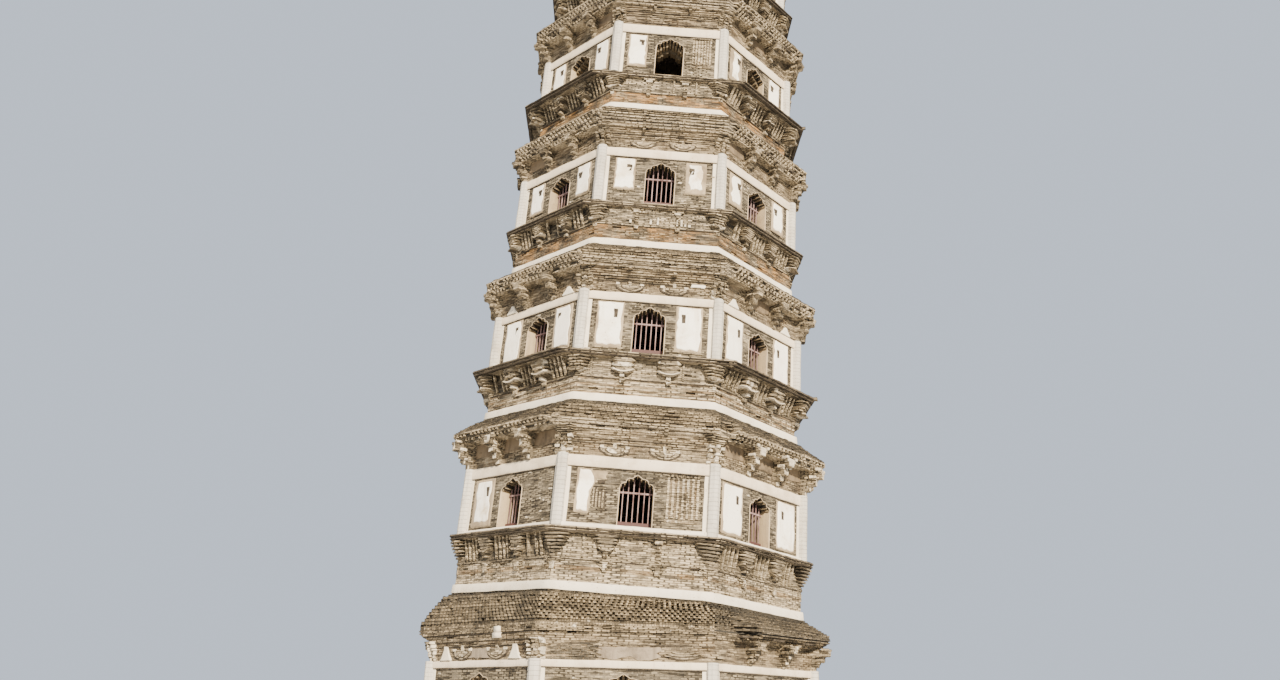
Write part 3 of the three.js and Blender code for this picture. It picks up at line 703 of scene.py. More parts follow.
# A balcony ring: brick over the white band, a string course, recessed panels between the caps, and a lip that
# steps out course by course under the deck.
def buildBalcony(storey, below, seed):
    look, name, out, top, bricks = balconyLook, storey.name, storey.out, storey.floor, storey.bricks
    lowest = name in ("storey2", "storey3")
    foot = below.beamTop + tower["eaveRise"]
    lipFoot, bandTop = top - look["lipRise"], foot + look["bandRise"]
    stringFoot = foot + (lipFoot - foot) * look["stringShare"]
    stringTop = stringFoot + look["stringRise"]
    lower = max(3, round((stringFoot - bandTop) / courseHeight))
    upper = max(4, round((lipFoot - stringTop) / courseHeight))
    lips = len(look["lipShares"])
    edges = np.concatenate([[foot], bandTop + (stringFoot - bandTop) * np.arange(lower) / lower, [stringFoot],
                            stringTop + (lipFoot - stringTop) * np.arange(upper) / upper,
                            lipFoot + look["lipRise"] * np.arange(lips + 1) / lips])
    reaches = np.full(8, storey.balconyReach * flat)
    reaches[front] = storey.frontLip
    plain = np.repeat([0.01, 0.0, look["stringProud"], -0.004], [1, lower, 1, upper])
    proud = np.concatenate([np.tile(plain[:, None], 8), np.array(look["lipShares"])[:, None] * reaches])[:, :, None]
    jitter = np.repeat([0.0, 0.006, 0.003, 0.008, 0.005], [1, lower, 1, upper, lips])[:, None, None]
    count = len(edges) - 1
    broken = np.full((count, 8, bricks), 0.03)
    if name == "storey2":                                # rough brick under the lip, right half of the front
        broken[-lips - 3:, front, bricks // 2:] = 0.45
    courseNo, brickNo = np.arange(count)[:, None, None], np.arange(8 * bricks).reshape(1, 8, bricks)
    lime = np.where(chance(courseNo, brickNo, seed + 40) < (0.12 if lowest else 0.42), -0.60, 0.10)
    # above the string course, away from the front, the courses go darker: painted shade under the lip
    lime[2 + lower:, 1:] -= 0.25
    lime[1 + lower] = 0.20
    # the lip's courses that stand back go near-black: painted shade
    lime[-lips::2], lime[1 - lips::2] = 0.20, -0.60
    tone = np.full((count, 8, bricks), 0.5)
    if lowest:                                           # whole courses are orange, or single bricks
        warm = chance(np.arange(1 + lower), 4, seed) < look["orange"][name]
        tone[:1 + lower] = np.where(warm, 0.64, 0.05)[:, None, None]
    else:
        tone[:1 + lower] += look["orange"][name] * (0.2 + 0.5 * chance(courseNo[:1 + lower], brickNo, seed + 41))
    tone[1 + lower:, front] = 0.10
    ring = {"bricks": bricks, "jitter": jitter, "broken": broken, "lostDepth": 0.035, "wave": 0.004, "loose": 0.005,
            "sway": 0.005, "back": storey.back, "lime": lime, "tone": tone}
    courses, band, ribs, lines = (Heap(storey) for _ in range(4))
    courseRing(courses, edges[:-1], edges[1:], proud, ring, seed)
    courses.piece("balconyCourses", courseBrick, "brick", ["balcony"])
    p, bandFoot = look["bandProud"] * flat, foot - look["bandDrop"]
    smoothRing(band, [(-0.02, bandFoot), (p + 0.012, bandFoot), (p + 0.014, bandFoot + 0.010), (p + 0.006,
                                                                                                foot + 0.06),
                      (p, bandTop - 0.010), (p - 0.006, bandTop), (-0.02, bandTop + 0.004)], whiteLook, seed + 1)
    band.piece("whiteBand", bandPlaster, "plaster", smooth=True)
    buildCaps(storey, lipFoot, stringFoot, reaches, seed + 2)
    # ribs in the recessed panels between the caps lean out towards the lip
    spot = (np.arange(look["ribs"]) + 0.5) / look["ribs"] - 0.5
    away = np.min(np.abs(spot[:, None] - [-0.5, -1 / 6, 1 / 6, 0.5]), axis=1)
    face, spot = pairs(faces, spot[away > 0.070] * storey.width)
    keep = chance(np.round(spot * 50), face, seed + 9) > np.where(face == front, 0.93, 0.06)
    face, spot = face[keep], spot[keep]
    blocks(ribs, face * turn, around(spot, look["ribWidth"] / 2), (out - 0.02, out + 0.026),
           (stringTop + 0.02, lipFoot + 0.01), seed + 10, 0.28, 0.15, 0.004,
           tip=np.where(face == front, 0.0, 0.42 * storey.balconyReach * flat))
    if name == "storey4":
        at, half, tall = (np.array(values) for values in look["jambs"])
        blocks(ribs, front * turn, around(at, half), (out - 0.02, out + 0.028),
               (stringTop + 0.03, stringTop + 0.03 + tall), seed + 12, 0.8, 0.2, 0.006)
    if name in ("storey3", "storey5"):
        reach = storey.radius + storey.balconyReach
        blocks(ribs, (np.array(look["hooks"]) + 0.5) * turn, (-0.035, 0.035), (reach - 0.12, reach + 0.05),
               (top - 0.045, top + 0.005), seed + 11, loose=0.012)
    ribs.piece("ribs", courseBrick, "brick")
    # painted shadow: a dark strip under the string course, and two along the lip's courses
    for face in faces:
        levelLine(lines, face, out + 0.014, stringFoot - 0.016, 0.017, seed + 13 + face)
        for number, (share, drop) in enumerate(((1.0, 0.040), (0.92, 0.090))):
            lipOut = out + share * reaches + 0.010
            span = [end[face] / storey.width for end in faceEnds(lipOut)]
            levelLine(lines, face, lipOut[face], top - drop, 0.015, seed + 25 + number, span=span)
    lines.piece("shadowStrips", paintedShadeDark, "brick")


capLook = {
    "width": 0.44,
    "rise": 0.260,
    "layers": 7,             # of a corner's fan
    # half width and depth of the stepped foot under a cap, how white its dish and the cap are, tiers, spots of the
    # front where only a relief is left
    # storey 2's caps and dish are kept dark: painted shade
    "storey2": (0.230, 0.150, 0.15, -0.40, 5, [1]),
    "storey3": (0.120, 0.045, 0.95, 0.30, 3, []),
    "storey4": (0.100, 0.040, 0.42, 0.10, 7, [0, 1]),
    "above": (0.080, 0.040, 0.42, 0.10, 7, [0, 1]),
}


# Caps under the lip: stacked boat shapes that shrink downwards, a white dish along the lowest edge, a stem, and a
# small stepped foot on the string course. The corners have thin layers that fan out up to the lip.
def buildCaps(storey, lipFoot, stringFoot, reaches, seed):
    name, radius, wall = storey.name, storey.radius, storey.out
    footHalf, footDeep, dishLime, bodyLime, tiers, relief = capLook.get(name, capLook["above"])
    width, rise = capLook["width"], capLook["rise"]
    caps = Heap(storey)
    face, side = pairs(faces, [0, 1])
    spots = (side * 2 - 1) * storey.width / 6
    bare = (face == front) & np.isin(side, relief)
    angles, centre = face[~bare] * turn, spots[~bare]
    out = reaches[face[~bare]] * 0.62 + 0.045
    thin = tiers == 7
    edges = np.linspace(0, 1.02, tiers + 1)
    stem = lipFoot - rise

    # a boat shape on each cap: share of its width, of its reach, foot and head over the stem
    def boat(wide, deep, low, high, lift, seed, lime, tone, **more):
        bowArms(caps, angles, centre, width * wide, (wall - 0.03, wall + out * deep), (stem + low, stem + high), lift,
                seed, lime, tone, **more)

    for k in range(tiers):
        t = (k + 0.5) / tiers
        wide = 0.92 + 0.08 * t if name == "storey3" else 0.50 + 0.50 * min(1, 1.4 * t)
        lift = 0.26 * rise if k == 0 else (0.05 if thin else 0.015)
        lime = bodyLime + (0.20 if k % 2 and thin else 0) + 0.2 * chance(np.arange(len(angles)), 8 + k, seed)
        boat(wide, 0.62 + 0.38 * t, edges[k] * rise, (edges[k + 1] - 0.03) * rise, lift, seed + k, lime, 0.4)
    dish = 0.96 if name == "storey3" else 0.70
    boat(dish, 0.84, -0.014, 0.010, 0.24 * rise, seed + 5, dishLime, 0.3, steps=10, follow=1.0)
    # a darker bowl just under the dish: painted shade beneath it
    boat(dish * 0.80, 0.70, -0.042, -0.012, 0.16 * rise, seed + 6, -0.3, 0.5, steps=8, follow=1.0)
    blocks(caps, angles, around(centre, 0.040), (wall - 0.03, wall + 0.5 * out), (stem - 0.095, stem - 0.030),
           seed + 6, 0.7 * dishLime, 0.3, 0.006)
    # the corners' layers, and a pale dish low on them
    layers, reach = capLook["layers"], np.minimum(reaches, np.roll(reaches, -1))
    corner, layer = pairs(faces, np.arange(layers))
    t = (layer + 0.5) / layers
    layerOut = radius - 0.03 + (0.78 * reach[corner] + 0.05) * t ** 0.7
    low = stringFoot + 0.03 + (lipFoot - stringFoot - 0.03) * layer / layers
    # storey 2's corner layers start darker: painted shade
    lime = (0.0 if name == "storey2" else 0.25) - 0.5 * (chance(corner, layer, seed) < 0.4)
    bowArms(caps, (corner + 0.5) * turn, 0, 0.22 + 0.34 * t, (layerOut - 0.30, layerOut),
            (low, low + 0.60 * (lipFoot - stringFoot) / layers), 0.020, seed + 14, lime, 0.3, steps=4)
    if name != "storey2":
        dishOut = radius + 0.66 * reach
        bowArms(caps, (faces + 0.5) * turn, 0, 0.36, (dishOut - 0.30, dishOut), (stringFoot + 0.07,
                                                                                 stringFoot + 0.115),
                0.045, seed + 15, 0.45, 0.3, steps=8, follow=0.8)
    # the foot: a stepped shape that hangs from the string course, with a small block under it
    angles = np.concatenate([face * turn, (faces + 0.5) * turn])
    centre = np.concatenate([spots, np.zeros(8)])
    at = np.concatenate([np.full(16, wall), np.full(8, radius - 0.05)])
    for share, low in ((1.0, 0.25), (0.72, 0.62), (0.42, 1.0)):
        under = stringFoot - footDeep * low
        bowArms(caps, angles, centre, 2 * footHalf * share, (at - 0.03, at + 0.022 + 0.012 * low),
                (under, under + 0.030), 0.3 * footDeep, seed + 7, 0.25, 0.3, steps=4, follow=1.0)
    blocks(caps, angles, around(centre, 0.040), (at - 0.03, at + 0.055),
           (stringFoot - footDeep - 0.035, stringFoot - footDeep * 0.3), seed + 8, 0.45, 0.3, 0.006)
    # a bare face keeps the flat relief of a bar on a post, built of small blocks
    for number, (half, proud, low, high, lime) in enumerate(
            ((0.115, 0.040, 0.045, 0.015, 0.2), (0.070, 0.034, 0.085, 0.050, 0.55)) if relief else ()):
        blocks(caps, front * turn, around(spots[bare], half), (wall - 0.02, wall + proud),
               (lipFoot - low, lipFoot - high), seed + 9 + number, lime, 0.2, 0.006)
    tier = np.arange(5)
    for spot in spots[bare]:
        low = stringFoot + 0.03 + (lipFoot - 0.09 - stringFoot - 0.03) * tier / 5
        blocks(caps, front * turn, around(spot, np.where(tier % 2, 0.042, 0.026)), (wall - 0.02, wall + 0.036),
               (low, low + 0.026), seed + 11, 0.3, 0.3, 0.005)
    caps.piece("caps", courseBrick, "brick")


storeys = [Storey(row) for row in storeyTable]
for level, (storey, above) in enumerate(zip(storeys, storeys[1:] + [None])):
    buildEave(storey, above, 11 + storey.floor)
    if level:
        buildBalcony(storey, storeys[level - 1], 200 + 10 * level)
print("eaves and balconies ready")


bracketLook = {
    "proud": 0.022,
    "place": 1 / 6,
    "armTiers": [            # foot and head as shares of the rise, reach as a share, width
        (0.00, 0.20, 0.15, 0.12),
        (0.18, 0.42, 0.36, 0.13),
        (0.40, 0.68, 0.62, 0.16),
        (0.66, 1.00, 0.92, 0.22),
    ],
    "crossTiers": [          # foot and head, reach, width, how far the ends rise
        (0.30, 0.40, 0.34, 0.21, 0.08),
        (0.54, 0.66, 0.58, 0.25, 0.10),
        (0.80, 0.95, 0.86, 0.34, 0.10),
    ],
    "whiteness": {"ground": 0.22, "storey2": 0.62, "storey3": 0.34, "storey4": 0.22, "above": 0.26},
    "slotPlaces": [-0.29, 0.02, 0.33],
    "frieze": {"jitter": 0.007, "broken": 0.04, "lostDepth": 0.018, "wave": 0.003, "sway": 0.003, "loose": 0.004,
               "back": -0.001, "lime": 0.16, "tone": 0.55},
}


# The frieze over a lintel and its bracket sets: stepped arms reaching out, boat-shaped arms across them, and small
# blocks on the arms' ends. A face without its eave keeps only their relief.
def buildBrackets(storey, seed):
    look, name, ground, foot, rise = bracketLook, storey.name, storey.ground, storey.beamTop, storey.bracketRise
    count = max(6, round(rise / courseHeight))
    edges = foot + rise * np.arange(count + 1) / count
    frieze, sets, slots = Heap(storey), Heap(storey), Heap(storey)
    # over a bare face the upper courses step out to meet what is left of the eave
    proud = np.full((count, 8, 1), look["proud"])
    upper = np.clip((np.arange(count) + 1.0) / count - 0.5, 0, 1) / 0.5
    for face, limit in storey.lost.items():
        proud[:, face, 0] += upper * np.maximum(0.92 * limit - look["proud"], 0)
    courseRing(frieze, edges[:-1], edges[1:], proud, {"bricks": storey.bricks, **look["frieze"]}, seed)
    frieze.piece("frieze", courseBrick, "brick", ["brackets"])
    corners = np.array([k for k in (range(1, 6) if ground else range(1, 7))])
    face, side = pairs(storey.kept, [-1.0, 1.0])
    angles = np.concatenate([face * turn, (corners + 0.5) * turn])
    centre = np.concatenate([side * look["place"] * storey.width, np.zeros(len(corners))])
    wall = np.concatenate([np.full(len(face), storey.out), np.full(len(corners), storey.radius)])
    reach = np.where(wall > storey.out + 0.01, storey.eaveReach, storey.eaveReach * flat)
    whiteness = look["whiteness"].get(name, look["whiteness"]["above"])
    lime = np.clip(whiteness + 0.3 * (chance(np.arange(len(angles)), 3, seed) - 0.5), 0, 1)
    # the sets on the left faces are kept greyer: painted shade on the side away from the sun
    lime = lime * np.where(np.concatenate([face, corners]) > 4, 0.75, 1.0)     # greyer on the left faces
    for k, (low, high, far, wide) in enumerate(look["armTiers"]):
        tip = wall + far * reach
        blocks(sets, angles, around(centre, wide / 2), (wall - 0.05, tip), (foot + low * rise, foot + high * rise),
               seed + 20 + k, 0.25 * lime, 0.4, 0.008, 0.22)
        blocks(sets, angles, around(centre, wide * 0.40), (tip - 0.03, tip + 0.012),
               (foot + (low + 0.02) * rise, foot + (high - 0.03) * rise), seed + 25 + k, 1.3 * lime, 0.3, 0.010, 0.22)
    for k, (low, high, far, wide, lift) in enumerate(look["crossTiers"]):
        out = far * reach + 0.03
        bowArms(sets, angles, centre, wide, (wall + np.maximum(out - 0.08, -0.03), wall + out),
                (foot + low * rise, foot + high * rise), lift * rise, seed + 30 + k, lime * 0.8, 0.4)
        for end in (-1, 1) if k else ():
            blocks(sets, angles, around(centre + end * wide * 0.40, 0.035), (wall + out - 0.12, wall + out + 0.01),
                   (foot + high * rise, foot + (high + 0.09) * rise), seed + 41 + 3 * k + end, lime, 0.4, 0.005)
    for face, limit in storey.lost.items():
        if ground and face == front:
            buildPlainRelief(sets, slots, seed + 60)
        else:
            buildRelief(sets, slots, face, limit, seed + 60 + face)
    for corner in (7, 6) if ground else (0, 7):
        buildStacks(sets, corner, seed + 80 + corner)
    sets.piece("bracketSets", courseBrick, "brick")
    # dark slots under the lip, beside each set: dark boxes painted as the shade of their insides
    face, spot = pairs(storey.kept, np.array(look["slotPlaces"]) * storey.width)
    far = storey.out + 0.84 * storey.eaveReach * flat
    blocks(slots, face * turn, around(spot, 0.15), (far - 0.10, far), (foot + rise + 0.050, foot + rise + 0.082),
           seed + 95, loose=0.004)
    slots.piece("slots", paintedShadeDark, "brick")
    buildInfill(storey, seed + 90)


reliefLook = {
    "boatWidth": 0.54,
    "boatRise": 0.15,
    "whiteness": {"ground": 0.75, "storey2": 0.75, "storey3": 0.70},
    "stackWhiteness": {"ground": 0.75, "storey2": 0.60, "storey3": 0.35},
    "lines": (0.215, 0.300),                # heights over the lintel
    # on the ground storey's front: middle, then (width, proud, foot, head, lift) of dark and of pale boats
    "plainPlace": 0.95,
    "plainDark": [(0.80, 0.012, 0.030, 0.060, 0.075), (0.66, 0.022, 0.068, 0.100, 0.052)],
    "plainPale": [(0.74, 0.020, 0.045, 0.085, 0.070), (0.60, 0.026, 0.080, 0.120, 0.050),
                  (0.40, 0.032, 0.115, 0.150, 0.035)],
    "plainLines": (0.235, 0.330),
    "plainStart": -1.24,
}


# Relief on a bare face: flat boat shapes over the lintel at the thirds, a small post and pale blocks on each, and
# pale level lines between with dark strips under them, painted shadow.
def buildRelief(heap, lines, face, limit, seed):
    storey, angle = heap.storey, face * turn
    foot, rise, width, wall = storey.beamTop, storey.bracketRise, storey.width, storey.out
    out = wall + bracketLook["proud"]
    spot = np.array([-1.0, 1.0]) * bracketLook["place"] * width
    white = reliefLook["whiteness"].get(storey.name, 0.12)
    boat, tall = reliefLook["boatWidth"], reliefLook["boatRise"]
    if storey.floor > 12:                                # too worn for boats: a dark joint and a few short ones
        levelLine(lines, face, out + 0.014, foot + 0.050, 0.015, seed + 14)
        dash, row = width * (chance(np.arange(7), face, seed + 15) - 0.5) * 0.85, 0.038 * (np.arange(7) % 3)
        blocks(lines, angle, around(dash, 0.06), (out - 0.03, out + 0.014), (foot + 0.095 + row, foot + 0.108 + row),
               seed + 16)
    else:
        # each boat has a dark outline round it, painted shadow, and a small post and pale blocks on its ends
        for target, wide, proud, low, high, lift, lime in (
                (lines, boat + 0.05, 0.016, 0.002, 0.012 + tall, 0.75, 0),
                (heap, boat, 0.024, 0.020, 0.020 + tall, 0.75, 0.4),
                (lines, boat * 0.74, 0.028, 0.042, tall - 0.020, 0.55, 0),
                (heap, boat * 0.68, 0.036, 0.058, tall, 0.55, 0.6)):
            bowArms(target, angle, spot, wide, (out - 0.03, out + proud), (foot + low, foot + high), lift * tall,
                    seed, lime * white, 0.2, steps=12)
        for shift, half, high, number, lime, loose in (
                (-boat * 0.42, 0.035, 0.045, 1, 1, 0.008), (boat * 0.42, 0.035, 0.045, 3, 1, 0.008),
                (0, 0.03, 0.10, 5, 0.7, 0.006)):
            blocks(heap, angle, around(spot + shift, half), (out - 0.02, out + 0.030), (foot + tall,
                                                                                        foot + tall + high),
                   seed + number, lime * white, 0.3, loose)
    # at each level a dark strip lies under a pale line, painted shadow; one more dark strip runs across what is left
    # of the eave
    for number, level in enumerate(reliefLook["lines"]):
        reach = out + max(0, (level + 0.02) / rise - 0.5) * 2 * max(0.92 * limit - bracketLook["proud"], 0)
        levelLine(lines, face, reach + 0.012, foot + level, 0.013, seed + 6 + number)
        levelLine(heap, face, reach + 0.020, foot + level + 0.013, 0.014, seed + 8 + number)
    levelLine(lines, face, wall + limit + 0.006, foot + rise + 0.04, 0.010, seed + 10)
    # what is left of the set above: a broken column of small blocks up to the rubble
    tier = np.arange(7)
    for side in () if storey.ground else spot:
        kept = tier[chance(tier, np.round(side * 10), seed) > 0.35]
        low, odd = foot + rise + 0.07 * (kept - 2), kept % 2
        blocks(heap, angle, around(side, 0.030), (wall, wall + limit + 0.016 + 0.008 * odd), (low, low + 0.036),
               seed + 11, 0.05 + 0.15 * odd, 0.3, 0.008)


# The ground storey's front keeps less: rough dark brick to the left, a shallow boat shape to the right, and two
# level lines.
def buildPlainRelief(heap, lines, seed):
    look, foot, out, angle = reliefLook, heap.storey.beamTop, heap.storey.out + bracketLook["proud"], front * turn
    course, brick = pairs(np.arange(7), np.arange(8))
    start = look["plainStart"] + 0.098 * brick + 0.05 * (course % 2) + 0.02 * chance(brick, course, seed)
    rough = chance(brick, course, seed + 1)
    start, course, rough = (values[rough > 0.15] for values in (start, course, rough))
    low = foot + 0.010 + courseHeight * course
    blocks(heap, angle, (start, start + 0.088), (out - 0.03, out + 0.004 + 0.022 * rough), (low, low + 0.030),
           seed + 2, -0.30 - 0.55 * chance(start * 9, course, seed + 3), 0.5, 0.006)
    # the dark boats lie just behind and under the pale ones: painted shadow outlines
    for target, key, number, lime, tone in ((lines, "plainDark", 12, 0.0, 0.5), (heap, "plainPale", 4, 0.12, 0.25)):
        wide, proud, low, high, lift = np.array(look[key]).T
        bowArms(target, angle, look["plainPlace"], wide, (out - 0.03, out + proud), (foot + low, foot + high), lift,
                seed + number, lime, tone, steps=14)
    # each pale level line has a dark strip just under it: painted shadow
    for number, level in enumerate(look["plainLines"]):
        levelLine(lines, front, out + 0.016, foot + level, 0.018, seed + 6 + number)
        levelLine(heap, front, out + 0.020, foot + level + 0.014, 0.014, seed + 8 + number, lime=0.3)


# Where a corner has lost its bracket set: thin layered courses under the eave, and three ragged columns of small
# blocks that hang from them.
def buildStacks(heap, corner, seed):
    storey, angle = heap.storey, (corner + 0.5) * turn
    foot, rise, radius = storey.beamTop, storey.bracketRise, storey.radius
    white = reliefLook["stackWhiteness"].get(storey.name, 0.15)
    if not storey.ground:
        layer = np.arange(6)
        share = (layer + 0.5) / 6
        low = foot + rise * (0.62 + 0.40 * layer / 6)
        out = radius + 0.03 + 0.16 * share
        bowArms(heap, angle, 0, 2 * (0.15 + 0.09 * share), (out - 0.30, out), (low, low + rise * 0.050), 0.012,
                seed + 5, -0.25 + 0.3 * (layer % 2), 0.35)
    column, tier = pairs(np.arange(3) - 1, np.arange(6))
    span = rise * (0.94 if storey.ground else 0.66)
    spot = column * 0.115 + 0.02 * (chance(column, tier, seed + 2) - 0.5)
    out = radius + 0.03 - np.abs(column) * 0.045 + 0.09 * (tier / 5) ** 1.5 + 0.03 * chance(tier, column, seed + 3)
    low = foot + 0.015 + span * (tier - 0.4 * chance(column, tier, seed + 4)) / 6
    tall = span / 6 * (0.55 + 0.5 * chance(column, tier, seed + 6))
    blocks(heap, angle, around(spot, 0.026 + 0.026 * chance(tier, column, seed + 7)), (out - 0.14, out),
           (low, low + tall), seed, white * (0.3 + 1.1 * chance(column, tier, seed + 8)), 0.3, 0.012)


infillLook = {
    "ochreShare": {"ground": 0.0, "storey2": 0.9, "storey3": 0.2, "storey4": 0.5, "storey5": 0.5, "storey6": 0.4,
                   "storey7": 0.4},
    # height, share of the bay, widths at five heights, lime
    "ground": (0.24, 0.42, [1.0, 0.74, 0.52, 0.42, 0.36], 0.25),
    "storey3": (0.17, 0.50, [1.0, 0.80, 0.55, 0.36, 0.22], 0.6),
}


# Plaster between the bracket sets: ochre recesses under the eave, and white pieces that narrow upwards from the
# lintel. The ground storey's bare faces keep a smooth tan skin.
def buildInfill(storey, seed):
    name, ground, foot, rise = storey.name, storey.ground, storey.beamTop, storey.bracketRise
    proud = bracketLook["proud"]
    ochre, white = Heap(storey), Heap(storey)
    edges = np.array([-0.5, -1 / 6, 1 / 6, 0.5]) * storey.width
    for face in faces:
        for bay in range(3):
            start, end = edges[bay] + 0.09, edges[bay + 1] - 0.09
            if face in storey.kept and chance(face, bay, seed) < infillLook["ochreShare"][name]:
                plasterSkin(ochre, face, start, end, foot + 0.40 * rise, foot + 0.97 * rise, 0.05,
                            seed + face * 7 + bay, proud + 0.012, 0.0)
            whole = name == "storey3" and face in storey.kept and chance(face, bay, seed + 3) < 0.85
            if whole or (ground and face == left and bay != 1):
                tall, share, slope, lime = infillLook[name]
                low, high = around((start + end) / 2, (end - start) / 2 * share * np.array(slope))
                plasterSkin(white, face, low, high, foot + 0.004, foot + tall, 0.012, seed + 70 + face * 7 + bay,
                            proud + 0.030, lime)
    if ground:
        plasterSkin(ochre, front, [-0.46, -0.40, -0.50, -0.41, -0.47], [0.52, 0.64, 0.55, 0.68, 0.60], foot + 0.005,
                    foot + 0.225, 0.07, seed + 60, proud + 0.010, 0.20, (16, 24))
        plasterSkin(ochre, left, -0.45, 0.55, foot + 0.005, foot + 0.20, 0.05, seed + 61, proud + 0.012, 0.20, (12,
                                                                                                                20))
        out = storey.out + storey.frontReach
        blocks(white, left * turn, ([0.39, 0.425], [0.59, 0.555]), (out - 0.05, out + 0.05),
               ([foot + 0.34, foot + 0.43], [foot + 0.43, foot + 0.52]), seed + 62, 0.25, 0.5, 0.016)
    if name == "storey3":                                # a patch of white left high on the front frieze
        plasterSkin(white, front, [0.72, 0.70, 0.72, 0.74, 0.78], [1.02, 1.04, 1.02, 1.00, 0.98], foot + 0.20,
                    foot + 0.33, 0.04, seed + 63, proud + 0.030, 0.6)
    for heap, ending, material in ((ochre, "friezePlaster", ochrePlaster), (white, "whiteInfill", bandPlaster)):
        if heap.parts:
            heap.piece(ending, material, "plaster", smooth=True)


frameLook = {"postRadius": 0.107, "postSides": 16, "rows": 14, "uneven": 0.004, "beamProud": 0.030,
             "stripWidth": 0.070}
beamLook = {"steps": 20, "grain": 2.2, "uneven": 0.006, "edge": 0.005, "lime": 0.12}


# Corner posts: an eight-sided ring carried up, its radius moved by soft noise and nicked at its edges. The lintel
# is a smooth ring between them, with a dark strip under it, painted shadow.
def buildFrame(storey, seed):
    foot, top, low, depth = storey.floor, storey.beamTop, storey.under, storey.beamDepth
    posts, lintel, shade = Heap(storey), Heap(storey), Heap(storey)
    sides, p = frameLook["postSides"], frameLook["beamProud"]
    up = np.concatenate([[foot], np.linspace(foot, top + 0.002, frameLook["rows"]), [top + 0.002]])
    q = np.arange(sides) / sides * 2 * math.pi
    octagon = flat / np.cos((q + turn / 2) % turn - turn / 2)
    corner, rows = faces[:, None, None], up[:, None]
    nick = softNoise(q * 2 + corner * 7, rows * 5, seed)
    chip = np.where(softNoise(q * 3 + corner * 5, rows * 3, seed + 2) > 0.72, -0.008, 0)
    radius = frameLook["postRadius"] * octagon + frameLook["uneven"] * nick + chip
    radius[:, [0, -1]] = 0
    points = place((corner + 0.5) * turn, radius * np.sin(q), storey.radius + radius * np.cos(q), rows)
    quads = gridQuads(len(up), sides, closeCols=True) + corner[:, None] * len(up) * sides
    posts.add(leaned(points, storey.lean), quads, lime=0.05)
    posts.piece("posts", postPlaster, "plaster", ["frame"])
    smoothRing(lintel, [(-0.02, low + 0.003), (p - 0.008, low), (p, low + 0.010), (p + 0.003, low + depth * 0.4),
                        (p + 0.002, low + depth * 0.7), (p, top - 0.012), (p - 0.010, top), (-0.02, top)],
               beamLook, seed + 4)
    lintel.piece("lintel", lintelPlaster, "plaster", smooth=True)
    for face in faces:
        levelLine(shade, face, storey.out + 0.016, low - 0.015, 0.017, seed + 6 + face)
    shade.piece("lintelShadowStrip", paintedShadeDark, "brick")


windowLook = {
    "edge": 0.007, "edgeProud": 0.007, "inset": 0.010, "bars": 6, "barWidth": 0.018, "barDepth": 0.19,
    "barred": ("storey2", "storey3", "storey4", "storey6", "storey7"),
    "headShares": ([0, 0.30, 0.56, 0.66, 0.9, 1.0], [1.0, 0.72, 0.66, 0.40, 0.32, 0.0]),
    "ribWidth": 0.020, "ribDrop": 0.030, "ribPlaces": [-0.93, -0.72, -0.48, -0.24, 0.0, 0.24, 0.48, 0.72, 0.93],
    # rows of ribs one behind the other: start and end behind the wall's face, how far they hang lower
    "ribRows": [(0.012, 0.10, 0.0), (0.12, 0.24, 0.05), (0.26, 0.40, 0.10)],
    "barredRibs": [(0.012, 0.17, 0.0)],
}


# The cusped outline, right foot to left foot: jamb, then lobes as curves (1-t)^2 P + 2t(1-t) Q + t^2 R.
def doorPath(storey):
    half, foot, top, rise = storey.doorHalf, storey.doorFoot, storey.doorTop, tower["doorRise"]
    lobes = [((1, 0), (0.97, 0.40), (0.66, 0.40)), ((0.66, 0.40), (0.64, 0.76), (0.30, 0.72)),
             ((0.30, 0.72), (0.17, 0.87), (0.0, 1.0))]
    t = (np.arange(4) / 4)[:, None]
    curve = np.concatenate([(1 - t) ** 2 * np.array(p) + 2 * t * (1 - t) * np.array(q) + t ** 2 * np.array(r)
                            for p, q, r in lobes])
    jamb = np.stack([np.full(3, half), np.linspace(foot, top - rise, 4)[:-1]], axis=1)
    side = np.concatenate([jamb, curve * [half, rise] + [0, top - rise]])
    sill = np.stack([np.linspace(-half, half, 5)[1:-1], np.full(3, foot)], axis=1)
    return np.concatenate([side, [[0, top]], side[::-1] * [-1, 1], sill])


# Height of the doorway's head, from straight lines between its cusps.
def headHeight(storey, along):
    places, shares = windowLook["headShares"]
    heights = storey.doorTop - tower["doorRise"] * (1 - np.array(shares))
    return np.interp(np.abs(along) / storey.doorHalf, places, heights)


